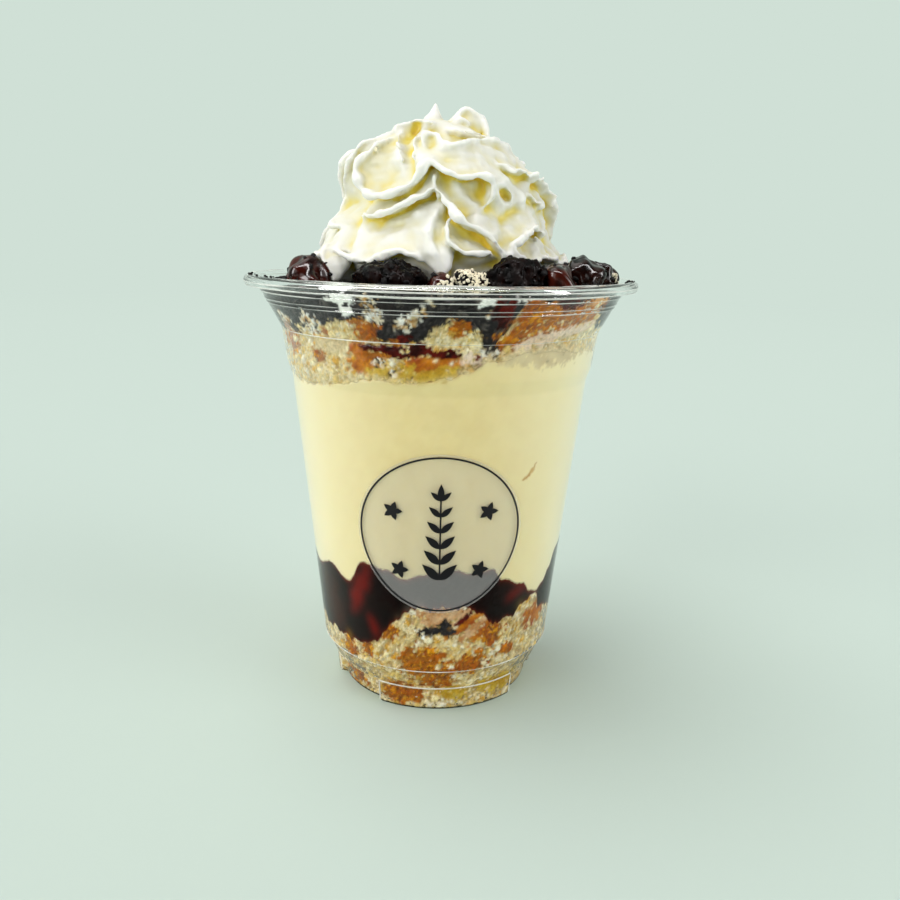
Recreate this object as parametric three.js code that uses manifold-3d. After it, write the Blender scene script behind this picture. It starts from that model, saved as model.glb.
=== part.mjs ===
// Cookies and cream parfait in a clear tapered cup: cake crumbs, fudge, custard, cake and cookie
// layers up to the rim, cookie pieces round the edge and a piped swirl of whipped cream on top.
// Millimetres, +Z up. The cup's axis is Z, its foot stands on z = 0 and its round label faces -Y.
// Azimuths are in degrees from the front (-Y) towards +X.

import * as THREE from 'three';
import { ConvexGeometry } from 'three/addons/geometries/ConvexGeometry.js';
import { mergeVertices } from 'three/addons/utils/BufferGeometryUtils.js';
import Module from 'manifold-3d';

const wasm = await Module();
wasm.setup();

// Cup
const cupHeight = 107;
const lipRadius = 49;
const lipBead = 1.2;
const wall = 0.8;
const cupSegments = 48;
const footHeight = 6.2;
const footInner = 21.5;
const footSlant = 1.5;
const floorRise = 2.2;
const recessDepth = 1.6;
const recessWidth = 40;
const recessAzimuths = [68, 188, 308];

// Outer face of the wall from the foot to under the lip, as radius and height.
const wallOutline = [
  [26.8, 0], [27.4, footHeight], [29.9, 11.8], [30.6, 12.5], [30.6, 13.6],
  [37.8, 82.6], [38.9, 85.8], [40.1, 94.3], [45.3, 103.9],
];

// Lip as a bead round the wall's end, drawn as an arc from one angle to the other, over a slanted mouth.
const lipArc = { from: -110, to: 150, step: 52 };
const mouthInset = 3.6;
const mouthDrop = 1.7;

// Label on the front of the wall, which shows round from the front
const labelHalfWidth = 19;
const labelHalfHeight = 20.1;
const labelAzimuth = 1.3;
const labelHeight = 49.4;
const labelThickness = 0.4;
const labelShares = [0, 0.3, 0.55, 0.78, 1];
const labelSides = 40;

// Food
const gap = 0.3;
const sideGap = 0.5;
const layerSegments = 48;
const ringShares = [0, 0.5, 0.86, 1];
const levelBelowFudge = 25;
const levelAboveFudge = 38;
const levelAboveCustard = 87.5;
const levelAboveCake = 97;
const levelAboveCookie = 105.2;
const edgeAboveCookie = 104.5;
const toppingFloor = 105.65;
const creamFloor = 105.55;

// Where each layer ends at the wall, as azimuth and height.
const fudgeBottom = [
  [-105, 24], [-75, 19], [-60, 17.8], [-38, 17.6], [-28, 19.6], [-20, 24.8], [-12, 28.4], [14, 28.4],
  [25, 25.2], [35, 25], [45, 28.2], [52, 28.8], [58, 24.5], [72, 22], [100, 26], [135, 20], [165, 26],
  [190, 20], [225, 27],
];
const fudgeTop = [
  [-105, 38], [-78, 37], [-66, 34.6], [-54, 36.9], [-42, 33.8], [-32, 40.4], [-21, 39.6], [-14, 37.6],
  [-4, 39.4], [8, 40.6], [14, 39.2], [24, 40], [29, 36.6], [41, 34.1], [47, 31], [52, 30.2], [57, 31.5],
  [62, 34.5], [68, 39], [78, 41], [100, 37], [130, 40], [160, 36], [190, 40], [222, 35],
];
// Where the fudge thins and draws back from the wall, its depth as a share of the radius.
const fudgeNotch = { azimuth: 52, halfWidth: 5, depth: 0.06 };
const custardTop = [
  [-85, 84], [-61, 83.1], [-46, 83.4], [-33, 84.5], [-25, 86.2], [-11, 85.7], [3, 86.9], [9.5, 88.5],
  [16, 90.2], [30, 92.3], [43, 91.9], [65, 90.9], [92, 88.5], [120, 86], [150, 89], [185, 85],
  [215, 88.5], [245, 85],
];
const cakeTop = [
  [-75, 97.6], [-50, 96.4], [-37, 97.8], [-28, 99.5], [-22, 99.8], [-17, 95.6], [-11, 94.1], [-5, 94.6],
  [2.5, 100.2], [8, 98.8], [15.5, 92.9], [19, 96.5], [23, 102], [33, 103], [42, 100.7], [48, 103],
  [57, 102], [66, 97], [90, 98], [115, 95], [140, 99.5], [175, 95.5], [205, 99], [240, 96],
];

// Outline of the swirl below its folds: half width, height and how far its middle leans to +X.
const creamOutline = [
  [24.3, creamFloor, -0.8], [26.3, 107.5, -0.8], [27.9, 109.5, -0.8], [28.6, 111.2, -0.6],
  [28.7, 113, -0.9], [28.1, 115, -1.1], [27.6, 117, -1], [26.7, 118.8, -0.6], [25.7, 120.5, 0.2],
  [24.5, 122, 1.4], [23.6, 123.6, 2.3], [23.3, 125.3, 2.1], [23.2, 127, 1.7], [23, 128.7, 1.1],
  [22.5, 130.3, 0.4], [21.5, 132, -0.5], [20.2, 133.7, -1.5], [18.5, 135.3, -2.3], [16.3, 136.8, -3.4],
  [14, 138.3, -3.9], [11.9, 139.8, -3.4], [10.1, 141.2, -2.8], [7.5, 142.5, -2.3], [3.9, 143.5, -2.2],
];
const creamTop = 143.9;
const creamSides = 78;

// Folds of the swirl as lines of azimuth and height along their crests. A fold falls away over
// the width soft on the left of its line and over steep on its right, where dip deepens its foot.
const ridges = [
  {
    rise: 3.6, soft: 6.5, steep: 2.8, dip: 1.8,
    line: [[-31, 139.5], [-43, 134.5], [-48.5, 130.5], [-43, 126.6], [-27, 127], [-17, 129.5], [-6, 133],
      [5, 130.8], [17, 131.2], [24, 129], [21, 125], [15, 121.5]],
  },
  {
    rise: 3.6, soft: 4.4, steep: 2.8, dip: 1.6,
    line: [[-52, 121], [-36, 121.5], [-24, 124.8], [-7, 127.4], [2, 123], [8, 121], [20.5, 118.5],
      [26, 116], [30, 111], [31, 107]],
  },
  {
    rise: 2.2, soft: 2.8, steep: 2.6, dip: 1.3,
    line: [[2.5, 121], [5.5, 117], [11.5, 113.6], [21.5, 113.6], [26, 112]],
  },
  {
    rise: 2.9, soft: 7.5, steep: 2.8, dip: 1.8,
    line: [[86, 132], [47, 137], [30.5, 136.6], [15, 135.4], [4, 137.4], [-8, 134]],
  },
  { rise: 2.6, soft: 3.8, steep: 2.6, dip: 1.4, line: [[-24, 141], [16, 141.6], [60, 140.6], [100, 139]] },
  {
    rise: 2.3, soft: 5.4, steep: 3, dip: 1,
    line: [[-36, 141], [-52, 136], [-66, 131], [-76, 124], [-60, 118]],
  },
  { rise: 3.4, soft: 6.5, steep: 3.6, dip: 1, line: [[4, 104], [-0.5, 111], [-5, 118], [-8, 127]] },
  {
    rise: 3, soft: 4.6, steep: 2.8, dip: 1.2,
    line: [[-108, 109], [-75, 112], [-48, 114.4], [-31, 112.8], [-16, 114.4], [0, 112]],
  },
  { rise: 2.6, soft: 4, steep: 2.8, dip: 1.7, line: [[-60, 103], [-54, 109], [-50, 115]] },
  { rise: 2.3, soft: 3.6, steep: 2.8, dip: 1.2, line: [[28, 110], [36, 117], [48, 119.6], [66, 117]] },
  { rise: 2.7, soft: 4.2, steep: 2.8, dip: 1.2, line: [[26, 112], [43.5, 113.4], [84, 112.8], [116, 109]] },
  {
    rise: 2.4, soft: 6, steep: 3.2, dip: 0.8,
    line: [[32, 134], [52, 131.6], [70, 130], [82, 124], [90, 112]],
  },
];
// Folds round the back, which run up and round the swirl at an even pitch.
const backRidges = {
  count: 6, from: 106, step: 28, sweep: 30, bend: { turn: 0.4, rise: 0.6 }, low: 103, high: 139,
  rise: 3, soft: 6.5, steep: 5, dip: 0.4,
};
const foldFade = 8;

// Where the foot of a fold lies past its crest and how wide it is, as shares of the steep width.
const footPlace = 0.9;
const footWidth = 0.75;

// Hollows between the folds as lines of azimuth and height.
const creases = [
  { depth: 2.6, width: 4, line: [[-19, 139.5], [-18.5, 134.5], [-20, 130.6]] },
  { depth: 2.5, width: 3.4, line: [[-2.5, 129.4], [0.5, 126.6], [3.5, 124], [10, 121.4]] },
  { depth: 1.7, width: 3, line: [[4.5, 120.4], [10, 117.4], [22, 115.4]] },
  { depth: 1.5, width: 3.6, line: [[-42, 119.6], [-31, 118.4], [-20, 118.6]] },
  { depth: 1.9, width: 3.6, line: [[-52, 105], [-42, 108], [-34, 109.6]] },
  { depth: 1.8, width: 3.4, line: [[10, 111], [18, 110], [26, 111]] },
  { depth: 2.2, width: 2.6, line: [[30, 126.2], [31, 125.4]] },
  { depth: 2.2, width: 5.5, line: [[-38, 135], [-40, 131.5], [-34, 129.8], [-27, 129.6]] },
  { depth: 2, width: 4.2, line: [[8, 139.4], [18, 138.6], [40, 138.6]] },
];
const stepsPerSpan = 4;
const patchReach = 0.7;

// Crown of the swirl: a sharp leaning tip and a rounded lobe, as points with their half thicknesses.
const tip = [
  [-2.9, -0.8, 138, 6], [-2.8, -0.6, 142, 4.4], [-2.6, -0.4, 143.8, 2.6], [-2.3, -0.1, 145.6, 1.3],
  [-2.1, 0, 147.8, 0.35],
];
const lobe = [
  [0.5, 0.5, 136, 6], [3.6, -0.4, 139.4, 6.2], [5.6, -1, 142.4, 5], [6.3, -1.2, 144.6, 3.6],
  [6.5, -1.2, 145.9, 1.7],
];
const crownSides = 12;

// Pieces on the rim: centre, half sizes and seed. Those with a round form are coated with glaze.
const chunks = [
  { name: 'glazed_chunk_left', at: [-30.4, -23.6], half: [6.2, 6.6, 5.8], seed: 3, round: true },
  { name: 'cookie_chunk_front', at: [-11, -34], half: [8.8, 6.6, 6.2], seed: 8 },
  { name: 'glazed_drop_front', at: [-0.3, -38.6], half: [3.4, 3.4, 3.8], seed: 5, round: true },
  { name: 'crumbed_chunk_front', at: [6.1, -36.4], half: [4.6, 5, 4.9], seed: 12 },
  { name: 'cookie_chunk_right', at: [16, -31.4], half: [7.6, 7.4, 7.2], seed: 21 },
  { name: 'glazed_chunk_right', at: [25.4, -29], half: [5, 6, 6.1], seed: 17, round: true },
  { name: 'cookie_chunk_side', at: [32.4, -22], half: [5.2, 5.4, 8.3], seed: 26 },
  { name: 'cookie_nub_large', at: [37.2, -15.2], half: [3.8, 3.8, 6.7], seed: 31 },
  { name: 'cookie_nub_small', at: [40.4, -9.2], half: [3, 3.2, 4.4], seed: 34 },
];
// Chunks round the back of the rim, one after another.
const backChunks = { count: 10, from: 104, step: 16.2, radius: 37.8, half: [6.6, 6.4, 5.6], seed: 50 };
const sizeSpread = { from: 0.85, to: 1.1 };
const chunkLimit = 44.9;
const cookieCorners = 26;
const cornerSpread = 0.1;
const lumpWaves = { count: 3, pitch: 5, mean: 0.97, height: 0.03 };

const colours = {
  cup: 0xe6eeea, label: 0xd8d6c8, cakeBase: 0xe0c088, fudge: 0x2a130d, custard: 0xf1e2aa,
  cakeUpper: 0xd9a24a, cookieLayer: 0x24201f, cream: 0xf7f3e4, cookie: 0x1b1513, glaze: 0x35140f,
};

const radians = THREE.MathUtils.degToRad;

// A seeded random number generator.
function randomFrom(seed) {
  let state = seed * 7919 + 17;
  return () => {
    state = (state * 16807) % 2147483647;
    return (state & 0xffffff) / 0x1000000;
  };
}

// A closed mesh with shared vertices and no flattened triangles.
function closed(source) {
  const bare = source.clone();
  bare.deleteAttribute('normal');
  bare.deleteAttribute('uv');
  const merged = mergeVertices(bare, 1e-4);
  const corners = merged.index.array;
  const kept = [];
  for (let i = 0; i < corners.length; i += 3) {
    const [a, b, c] = [corners[i], corners[i + 1], corners[i + 2]];
    if (a !== b && b !== c && c !== a) {
      kept.push(a, b, c);
    }
  }
  merged.setIndex(kept);
  merged.computeVertexNormals();
  return merged;
}

// A closed surface of rows from one pole to the other, each vertex put where place(row, angle) says.
// Squares for which turned(row, corners) holds are split along their other diagonal.
function formed(rowCount, sides, place, turned = () => false) {
  const isPole = (row) => row === 0 || row === rowCount - 1;
  const profile = Array.from({ length: rowCount }, (_, row) => new THREE.Vector2(isPole(row) ? 0 : 1, row));
  const geometry = new THREE.LatheGeometry(profile, sides);
  const position = geometry.getAttribute('position');
  for (let i = 0; i < position.count; i += 1) {
    const side = Math.floor(i / rowCount) % sides;
    const point = place(i % rowCount, (side * 360) / sides);
    position.setXYZ(i, point.x, point.y, point.z);
  }
  const corners = [];
  const at = (i) => new THREE.Vector3().fromBufferAttribute(position, i);
  for (let side = 0; side < sides; side += 1) {
    for (let row = 0; row < rowCount - 1; row += 1) {
      const near = side * rowCount + row;
      const far = near + rowCount;
      corners.push(...(turned(row, [near, near + 1, far, far + 1].map(at))
        ? [near, far, far + 1, near, far + 1, near + 1]
        : [near, far, near + 1, far + 1, near + 1, far]));
    }
  }
  geometry.setIndex(corners);
  return closed(geometry);
}

// Whether a square is split better from its first corner to its last, as the shorter way over a fold.
function shorterWay(row, [near, nearNext, far, farNext]) {
  return near.distanceTo(farNext) < nearNext.distanceTo(far);
}

function solidOf(geometry) {
  return new wasm.Manifold(new wasm.Mesh({
    numProp: 3,
    vertProperties: geometry.getAttribute('position').array,
    triVerts: new Uint32Array(geometry.index.array),
  }));
}

function geometryOf(solid) {
  const mesh = solid.getMesh();
  const geometry = new THREE.BufferGeometry();
  geometry.setAttribute('position', new THREE.BufferAttribute(mesh.vertProperties, 3));
  geometry.setIndex(new THREE.BufferAttribute(mesh.triVerts, 1));
  geometry.computeVertexNormals();
  return geometry;
}

function around(azimuth, radius, z) {
  const angle = radians(azimuth);
  return new THREE.Vector3(radius * Math.sin(angle), -radius * Math.cos(angle), z);
}

// Straight-line value between rows of [value, key].
function along(rows, key, column = 0) {
  const keyColumn = 1;
  if (key <= rows[0][keyColumn]) {
    return rows[0][column];
  }
  for (let i = 1; i < rows.length; i += 1) {
    if (key <= rows[i][keyColumn]) {
      const share = (key - rows[i - 1][keyColumn]) / (rows[i][keyColumn] - rows[i - 1][keyColumn]);
      return rows[i - 1][column] + share * (rows[i][column] - rows[i - 1][column]);
    }
  }
  return rows[rows.length - 1][column];
}

// Height of an edge that closes on itself round the cup, eased between its points.
function edgeHeight(points, azimuth) {
  const first = points[0][0];
  const angle = ((azimuth - first) % 360 + 360) % 360 + first;
  for (let i = 0; i < points.length; i += 1) {
    const from = points[i];
    const to = i + 1 < points.length ? points[i + 1] : [first + 360, points[0][1]];
    if (angle <= to[0]) {
      const share = (angle - from[0]) / (to[0] - from[0]);
      const eased = (1 - Math.cos(Math.PI * share)) / 2;
      return from[1] + eased * (to[1] - from[1]);
    }
  }
  return points[0][1];
}

function outerRadius(z) {
  return along(wallOutline, z);
}

function fillRadius(z) {
  return outerRadius(z) - wall - sideGap;
}

// Ring-shaped block that cuts the foot away between the feet, inset as the wall's inner face needs.
function recessBlock(azimuth, inset) {
  const outside = lipRadius;
  const inner = wallOutline[0][0] - recessDepth - inset;
  const half = radians(recessWidth / 2) + inset / inner;
  const shape = new THREE.Shape();
  shape.absarc(0, 0, outside, -half, half, false);
  shape.absarc(0, 0, inner, half, -half, true);
  const depth = footHeight + inset + 1;
  const block = new THREE.ExtrudeGeometry(shape, { depth, bevelEnabled: false, curveSegments: 6 });
  block.translate(0, 0, -1);
  block.rotateZ(radians(azimuth - 90));
  return solidOf(closed(block));
}

// Takes the three recesses out of a solid of the cup's inside or outside.
function withRecesses(geometry, inset) {
  const blocks = recessAzimuths.map((azimuth) => recessBlock(azimuth, inset));
  return blocks.reduce((solid, block) => solid.subtract(block), solidOf(geometry));
}

function lathe(outline) {
  const profile = outline.map(([radius, z]) => new THREE.Vector2(radius, z));
  return closed(new THREE.LatheGeometry(profile, cupSegments).rotateX(Math.PI / 2));
}

function insideOutline(inset) {
  const floor = floorRise + inset;
  const rise = [[0, floor], [footInner - footSlant, floor], [footInner, inset]];
  const side = wallOutline.map(([radius, z]) => [radius - inset, Math.max(z, inset)]);
  return [...rise, ...side];
}

// Clear cup: a thin tapered wall with a stop ring, a flared collar, a rolled lip and three feet.
function cupGeometry() {
  const lip = [];
  for (let angle = lipArc.from; angle <= lipArc.to; angle += lipArc.step) {
    lip.push([
      lipRadius - lipBead + lipBead * Math.cos(radians(angle)),
      cupHeight - lipBead + lipBead * Math.sin(radians(angle)),
    ]);
  }
  const mouth = [lipRadius - mouthInset, cupHeight - mouthDrop];
  const foot = [[0, floorRise], [footInner - footSlant, floorRise], [footInner, 0]];
  const outside = lathe([...foot, ...wallOutline, ...lip, mouth, [0, mouth[1]]]);
  const inside = lathe([...insideOutline(wall), mouth, [mouth[0], cupHeight], [0, cupHeight]]);
  return geometryOf(withRecesses(outside, 0).subtract(withRecesses(inside, wall)));
}

// Label that follows the wall.
function labelGeometry() {
  const back = labelShares.map((share) => [share, 0]);
  const front = labelShares.map((share) => [share, labelThickness]).reverse();
  const rows = [...back, ...front];
  return formed(rows.length, labelSides, (row, angle) => {
    const [share, depth] = rows[row];
    const across = -share * labelHalfWidth * Math.sin(radians(angle));
    const z = labelHeight + share * labelHalfHeight * Math.cos(radians(angle));
    const azimuth = labelAzimuth + THREE.MathUtils.radToDeg(Math.asin(across / outerRadius(labelHeight)));
    return around(azimuth, outerRadius(z) + gap + depth, z);
  });
}

// A layer of food from one uneven face to the next. reach(azimuth) draws its edge in from the wall.
// The squares of its under side are turned, which gives it the facets of the layer below.
function layerGeometry(floorRows, bottom, top, reach = () => 1) {
  const side = wallOutline.map(([, z]) => z).slice(1);
  const rows = [
    ...floorRows,
    ...side.map((z) => ({ share: 1, z: () => z })),
    ...[...ringShares].reverse().map((share) => ({ share, z: (azimuth) => top(azimuth, share) })),
  ];
  return formed(rows.length, layerSegments, (row, azimuth) => {
    const { share, z, radius } = rows[row];
    const height = THREE.MathUtils.clamp(z(azimuth), bottom(azimuth, share), top(azimuth, share));
    const width = radius ?? share * fillRadius(height) * (share === 1 ? reach(azimuth) : 1);
    return around(azimuth, width, height);
  }, (row) => row < floorRows.length - 1);
}

// The uneven face between two layers: level in the middle and following its edge at the wall.
function face(level, edge, offset) {
  return (azimuth, share) => level + (edgeHeight(edge, azimuth) - level) * share ** 3 + offset;
}

function ringRows(bottom) {
  return ringShares.map((share) => ({ share, z: (azimuth) => bottom(azimuth, share) }));
}

function cakeBaseGeometry() {
  const inset = wall + gap;
  const [middle, slantTop, slantFoot, side] = insideOutline(inset);
  const raised = [middle, slantTop, slantFoot].map(([radius, z]) => ({ share: 0, z: () => z, radius }));
  const floorRows = [...raised, { share: 1, z: () => side[1] }];
  const filled = layerGeometry(floorRows, () => inset, face(levelBelowFudge, fudgeBottom, -gap / 2));
  return geometryOf(withRecesses(filled, inset));
}

function fudgeGeometry() {
  const bottom = face(levelBelowFudge, fudgeBottom, gap / 2);
  const top = face(levelAboveFudge, fudgeTop, -gap / 2);
  const { azimuth: middle, halfWidth, depth } = fudgeNotch;
  const reach = (azimuth) => 1 - depth * Math.exp(-(((azimuth - middle) / halfWidth) ** 2));
  return layerGeometry(ringRows(bottom), bottom, top, reach);
}

function custardGeometry() {
  const bottom = face(levelAboveFudge, fudgeTop, gap / 2);
  return layerGeometry(ringRows(bottom), bottom, face(levelAboveCustard, custardTop, -gap / 2));
}

function cakeUpperGeometry() {
  const bottom = face(levelAboveCustard, custardTop, gap / 2);
  return layerGeometry(ringRows(bottom), bottom, face(levelAboveCake, cakeTop, -gap / 2));
}

function cookieLayerGeometry() {
  const bottom = face(levelAboveCake, cakeTop, gap / 2);
  const top = (azimuth, share) => (share === 1 ? edgeAboveCookie : levelAboveCookie);
  return layerGeometry(ringRows(bottom), bottom, top);
}

// Moves a point of a unit ball to its place on a piece that stands on the level floor.
function onChunk(point, { at, half }, grow) {
  const x = at[0] + point.x * (half[0] + grow);
  const y = at[1] + point.y * (half[1] + grow);
  const z = toppingFloor - grow + Math.max(point.z, 0) * (half[2] + grow * 2);
  const reach = Math.min(1, (chunkLimit + grow) / Math.hypot(x, y));
  return new THREE.Vector3(x * reach, y * reach, z);
}

// A piece broken along flat facets between corners thrown at random on a squarish ball.
function brokenChunk(piece, grow) {
  const random = randomFrom(piece.seed);
  const corners = Array.from({ length: cookieCorners }, () => {
    const turn = random() * Math.PI * 2;
    const up = random() * 1.4 - 0.4;
    const flat = Math.sqrt(1 - up * up);
    const point = new THREE.Vector3(Math.cos(turn) * flat, Math.sin(turn) * flat, up);
    const square = (Math.abs(point.x) ** 3 + Math.abs(point.y) ** 3 + Math.abs(point.z) ** 3) ** (1 / 3);
    return point.multiplyScalar((1 - cornerSpread * random()) / square);
  });
  return closed(new ConvexGeometry(corners.map((point) => onChunk(point, piece, grow))));
}

// A smooth, slightly lumpy piece.
function roundChunk(piece, grow) {
  const random = randomFrom(piece.seed);
  const { count, pitch, mean, height } = lumpWaves;
  const oneWave = () => new THREE.Vector3(random(), random(), random()).multiplyScalar(pitch);
  const waves = Array.from({ length: count }, oneWave);
  const isLarge = piece.half[0] > 4;
  const ball = new THREE.IcosahedronGeometry(1, isLarge ? 2 : 1);
  const position = ball.getAttribute('position');
  for (let i = 0; i < position.count; i += 1) {
    const point = new THREE.Vector3().fromBufferAttribute(position, i);
    const lump = waves.reduce((sum, wave) => sum + Math.sin(wave.dot(point)), 0);
    const placed = onChunk(point.multiplyScalar(mean - height * lump), piece, grow);
    position.setXYZ(i, placed.x, placed.y, placed.z);
  }
  return closed(ball);
}

function chunkSolid(piece, grow = 0) {
  return solidOf(piece.round ? roundChunk(piece, grow) : brokenChunk(piece, grow));
}

// Cuts a solid back so that it stays clear of the pieces beside it.
function cutClear(solid, pieces) {
  return pieces.reduce((rest, piece) => rest.subtract(chunkSolid(piece, gap)), solid);
}

function backChunkList() {
  const random = randomFrom(backChunks.seed);
  const share = () => THREE.MathUtils.lerp(sizeSpread.from, sizeSpread.to, random());
  return Array.from({ length: backChunks.count }, (_, i) => {
    const place = around(backChunks.from + i * backChunks.step, backChunks.radius + random() - 0.5, 0);
    return {
      name: `cookie_chunk_back_${i + 1}`,
      at: [place.x, place.y],
      half: backChunks.half.map((size) => size * share()),
      seed: backChunks.seed + i + 1,
    };
  });
}

function backRidgeList() {
  const { count, from, step, sweep, bend, low, high, ...form } = backRidges;
  return Array.from({ length: count }, (_, i) => {
    const start = from + i * step;
    const middle = [start + sweep * bend.turn, THREE.MathUtils.lerp(low, high, bend.rise)];
    return { ...form, line: [[start, low], middle, [start + sweep, high]] };
  });
}

// The same fold or hollow with its line drawn as a smooth curve.
function eased(fold) {
  const curve = new THREE.SplineCurve(fold.line.map((point) => new THREE.Vector2(...point)));
  return { ...fold, line: curve.getPoints((fold.line.length - 1) * stepsPerSpan) };
}

// Distance from a place on the swirl to a line over it, with its side and the share run along it.
function nearest(line, azimuth, z) {
  const scale = new THREE.Vector2(radians(1) * along(creamOutline, z), 1);
  const place = new THREE.Vector2(azimuth, z);
  let found = { distance: Infinity, left: true, share: 0 };
  for (let i = 1; i < line.length; i += 1) {
    const run = line[i].clone().sub(line[i - 1]).multiply(scale);
    const here = place.clone().sub(line[i - 1]);
    here.x = THREE.MathUtils.euclideanModulo(here.x + 180, 360) - 180;
    here.multiply(scale);
    const step = THREE.MathUtils.clamp(here.dot(run) / run.lengthSq(), 0, 1);
    const distance = here.distanceTo(run.clone().multiplyScalar(step));
    if (distance < found.distance) {
      found = { distance, left: run.cross(here) > 0, share: (i - 1 + step) / (line.length - 1) };
    }
  }
  return found;
}

function bump(distance, width) {
  return Math.abs(distance) < width ? (1 - (distance / width) ** 2) ** 2 : 0;
}

// How far the folds stand out from the swirl's outline at one place, less how far the hollows go in.
function reliefAt(folds, hollows, azimuth, z) {
  let rise = 0;
  let dip = 0;
  for (const { line, rise: height, soft, steep, dip: foot } of folds) {
    const { distance, left, share } = nearest(line, azimuth, z);
    const fade = Math.min(1, foldFade * Math.min(share, 1 - share));
    const hollow = foot * fade * bump(distance - steep * footPlace, steep * footWidth);
    rise = Math.max(rise, height * fade * bump(distance, left ? soft : steep));
    dip = Math.max(dip, left ? 0 : hollow);
  }
  for (const { line, depth, width } of hollows) {
    dip = Math.max(dip, depth * bump(nearest(line, azimuth, z).distance, width));
  }
  return rise - dip;
}

// The mean of the relief over a patch about as wide as a facet, so that no crest is stepped.
function relief(folds, hollows, azimuth, z) {
  const turn = THREE.MathUtils.radToDeg(patchReach / along(creamOutline, z));
  const patch = [[0, 0], [-1, -1], [1, -1], [-1, 1], [1, 1]];
  const heights = patch.map(([a, b]) => reliefAt(folds, hollows, azimuth + a * turn, z + b * patchReach));
  return heights.reduce((sum, height) => sum + height, 0) / patch.length;
}

// Piped swirl: its outline, which leans as it rises, with the folds standing out from it.
function swirlSolid() {
  const middle = creamOutline.at(-1)[2];
  const outline = [[0, creamFloor, creamOutline[0][2]], ...creamOutline, [0, creamTop, middle]];
  const folds = [...ridges, ...backRidgeList()].map(eased);
  const hollows = creases.map(eased);
  return solidOf(formed(outline.length, creamSides, (row, azimuth) => {
    const [half, z, lean] = outline[row];
    const point = around(azimuth, half > 0 ? half + relief(folds, hollows, azimuth, z) : 0, z);
    point.x += lean;
    return point;
  }, shorterWay));
}

// A round-sided piece through points given with their half thicknesses.
function sweptSolid(stations) {
  const last = stations.length + 1;
  return solidOf(formed(last + 1, crownSides, (row, angle) => {
    const [x, y, z, half] = stations[THREE.MathUtils.clamp(row - 1, 0, last - 2)];
    const width = row === 0 || row === last ? 0 : half;
    return new THREE.Vector3(x, y, row === last ? z + half / 2 : z).add(around(angle, width, 0));
  }));
}

// Whipped cream: the swirl with its tip and lobe, cut clear of the pieces round the rim.
function creamGeometry(pieces) {
  const cream = swirlSolid().add(sweptSolid(tip)).add(sweptSolid(lobe));
  return geometryOf(cutClear(cream, pieces));
}

function mesh(name, geometry, color, roughness, options = {}) {
  const material = new THREE.MeshStandardMaterial({ color, roughness, metalness: 0, ...options });
  const made = new THREE.Mesh(geometry, material);
  made.name = name;
  return made;
}

const parfait = new THREE.Group();
parfait.add(mesh('cup', cupGeometry(), colours.cup, 0.08, { transparent: true, opacity: 0.3 }));
parfait.add(mesh('label', labelGeometry(), colours.label, 0.4, { transparent: true, opacity: 0.6 }));
parfait.add(mesh('cake_base', cakeBaseGeometry(), colours.cakeBase, 0.9));
parfait.add(mesh('fudge_layer', fudgeGeometry(), colours.fudge, 0.3));
parfait.add(mesh('custard', custardGeometry(), colours.custard, 0.5));
parfait.add(mesh('cake_upper', cakeUpperGeometry(), colours.cakeUpper, 0.85));
parfait.add(mesh('cookie_layer', cookieLayerGeometry(), colours.cookieLayer, 0.7));
const pieces = [...chunks, ...backChunkList()];
pieces.forEach((piece, i) => {
  const geometry = geometryOf(cutClear(chunkSolid(piece), pieces.slice(0, i)));
  const [colour, roughness] = piece.round ? [colours.glaze, 0.25] : [colours.cookie, 0.75];
  parfait.add(mesh(piece.name, geometry, colour, roughness));
});
parfait.add(mesh('whipped_cream', creamGeometry(pieces), colours.cream, 0.6));

export default parfait;
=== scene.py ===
# Cookies and cream parfait in a clear cup.
# Sizes in the dictionaries are millimetres and degrees. Azimuths start at the front (-Y) and turn
# towards +X. Everything is put into its mesh in metres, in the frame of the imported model.
import math

import bmesh
import bpy
import numpy as np
from mathutils import Matrix, Vector


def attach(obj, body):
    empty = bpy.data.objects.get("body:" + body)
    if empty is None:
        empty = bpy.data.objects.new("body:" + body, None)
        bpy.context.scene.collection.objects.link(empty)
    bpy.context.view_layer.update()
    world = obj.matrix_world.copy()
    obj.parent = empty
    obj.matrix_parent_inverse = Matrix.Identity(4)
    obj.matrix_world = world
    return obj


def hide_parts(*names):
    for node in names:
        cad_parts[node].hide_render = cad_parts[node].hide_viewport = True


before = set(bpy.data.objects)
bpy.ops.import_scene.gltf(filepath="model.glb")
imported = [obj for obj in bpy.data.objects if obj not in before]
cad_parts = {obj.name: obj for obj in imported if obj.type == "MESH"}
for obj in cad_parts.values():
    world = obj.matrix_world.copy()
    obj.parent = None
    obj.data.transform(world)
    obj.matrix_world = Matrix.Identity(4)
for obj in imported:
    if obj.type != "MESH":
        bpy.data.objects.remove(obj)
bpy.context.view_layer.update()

mm = 0.001


def linear(colour):
    # sRGB 0-255 to linear
    part = np.asarray(colour, float) / 255
    return np.where(part <= 0.04045, part / 12.92, ((part + 0.055) / 1.055) ** 2.4)


def rgba(*colour):
    return (*linear(colour), 1)


def along(rows, key, column=0):
    # straight-line value of one column of [value, ..., key] rows; keyed on column 1
    table = np.array(rows, float)
    return np.interp(key, table[:, 1], table[:, column])


def waves(points, size, seed, count=20):
    # smooth random field of about unit spread, with lumps of the given size
    random = np.random.default_rng(seed)
    ways = random.normal(size=(count, 3))
    ways /= np.linalg.norm(ways, axis=1)[:, None]
    pitch = 2 * np.pi / size * random.uniform(0.55, 1.3, count)
    start = random.uniform(0, 2 * np.pi, count)
    total = np.zeros(points.shape[:-1])
    for way, rate, phase in zip(ways, pitch, start):
        total += np.cos(points @ (way * rate) + phase)
    return total * math.sqrt(2 / count)


def around(azimuth, radius, z):
    angle = np.radians(azimuth)
    return np.stack([radius * np.sin(angle), -radius * np.cos(angle), z + 0 * angle], axis=-1)


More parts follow.
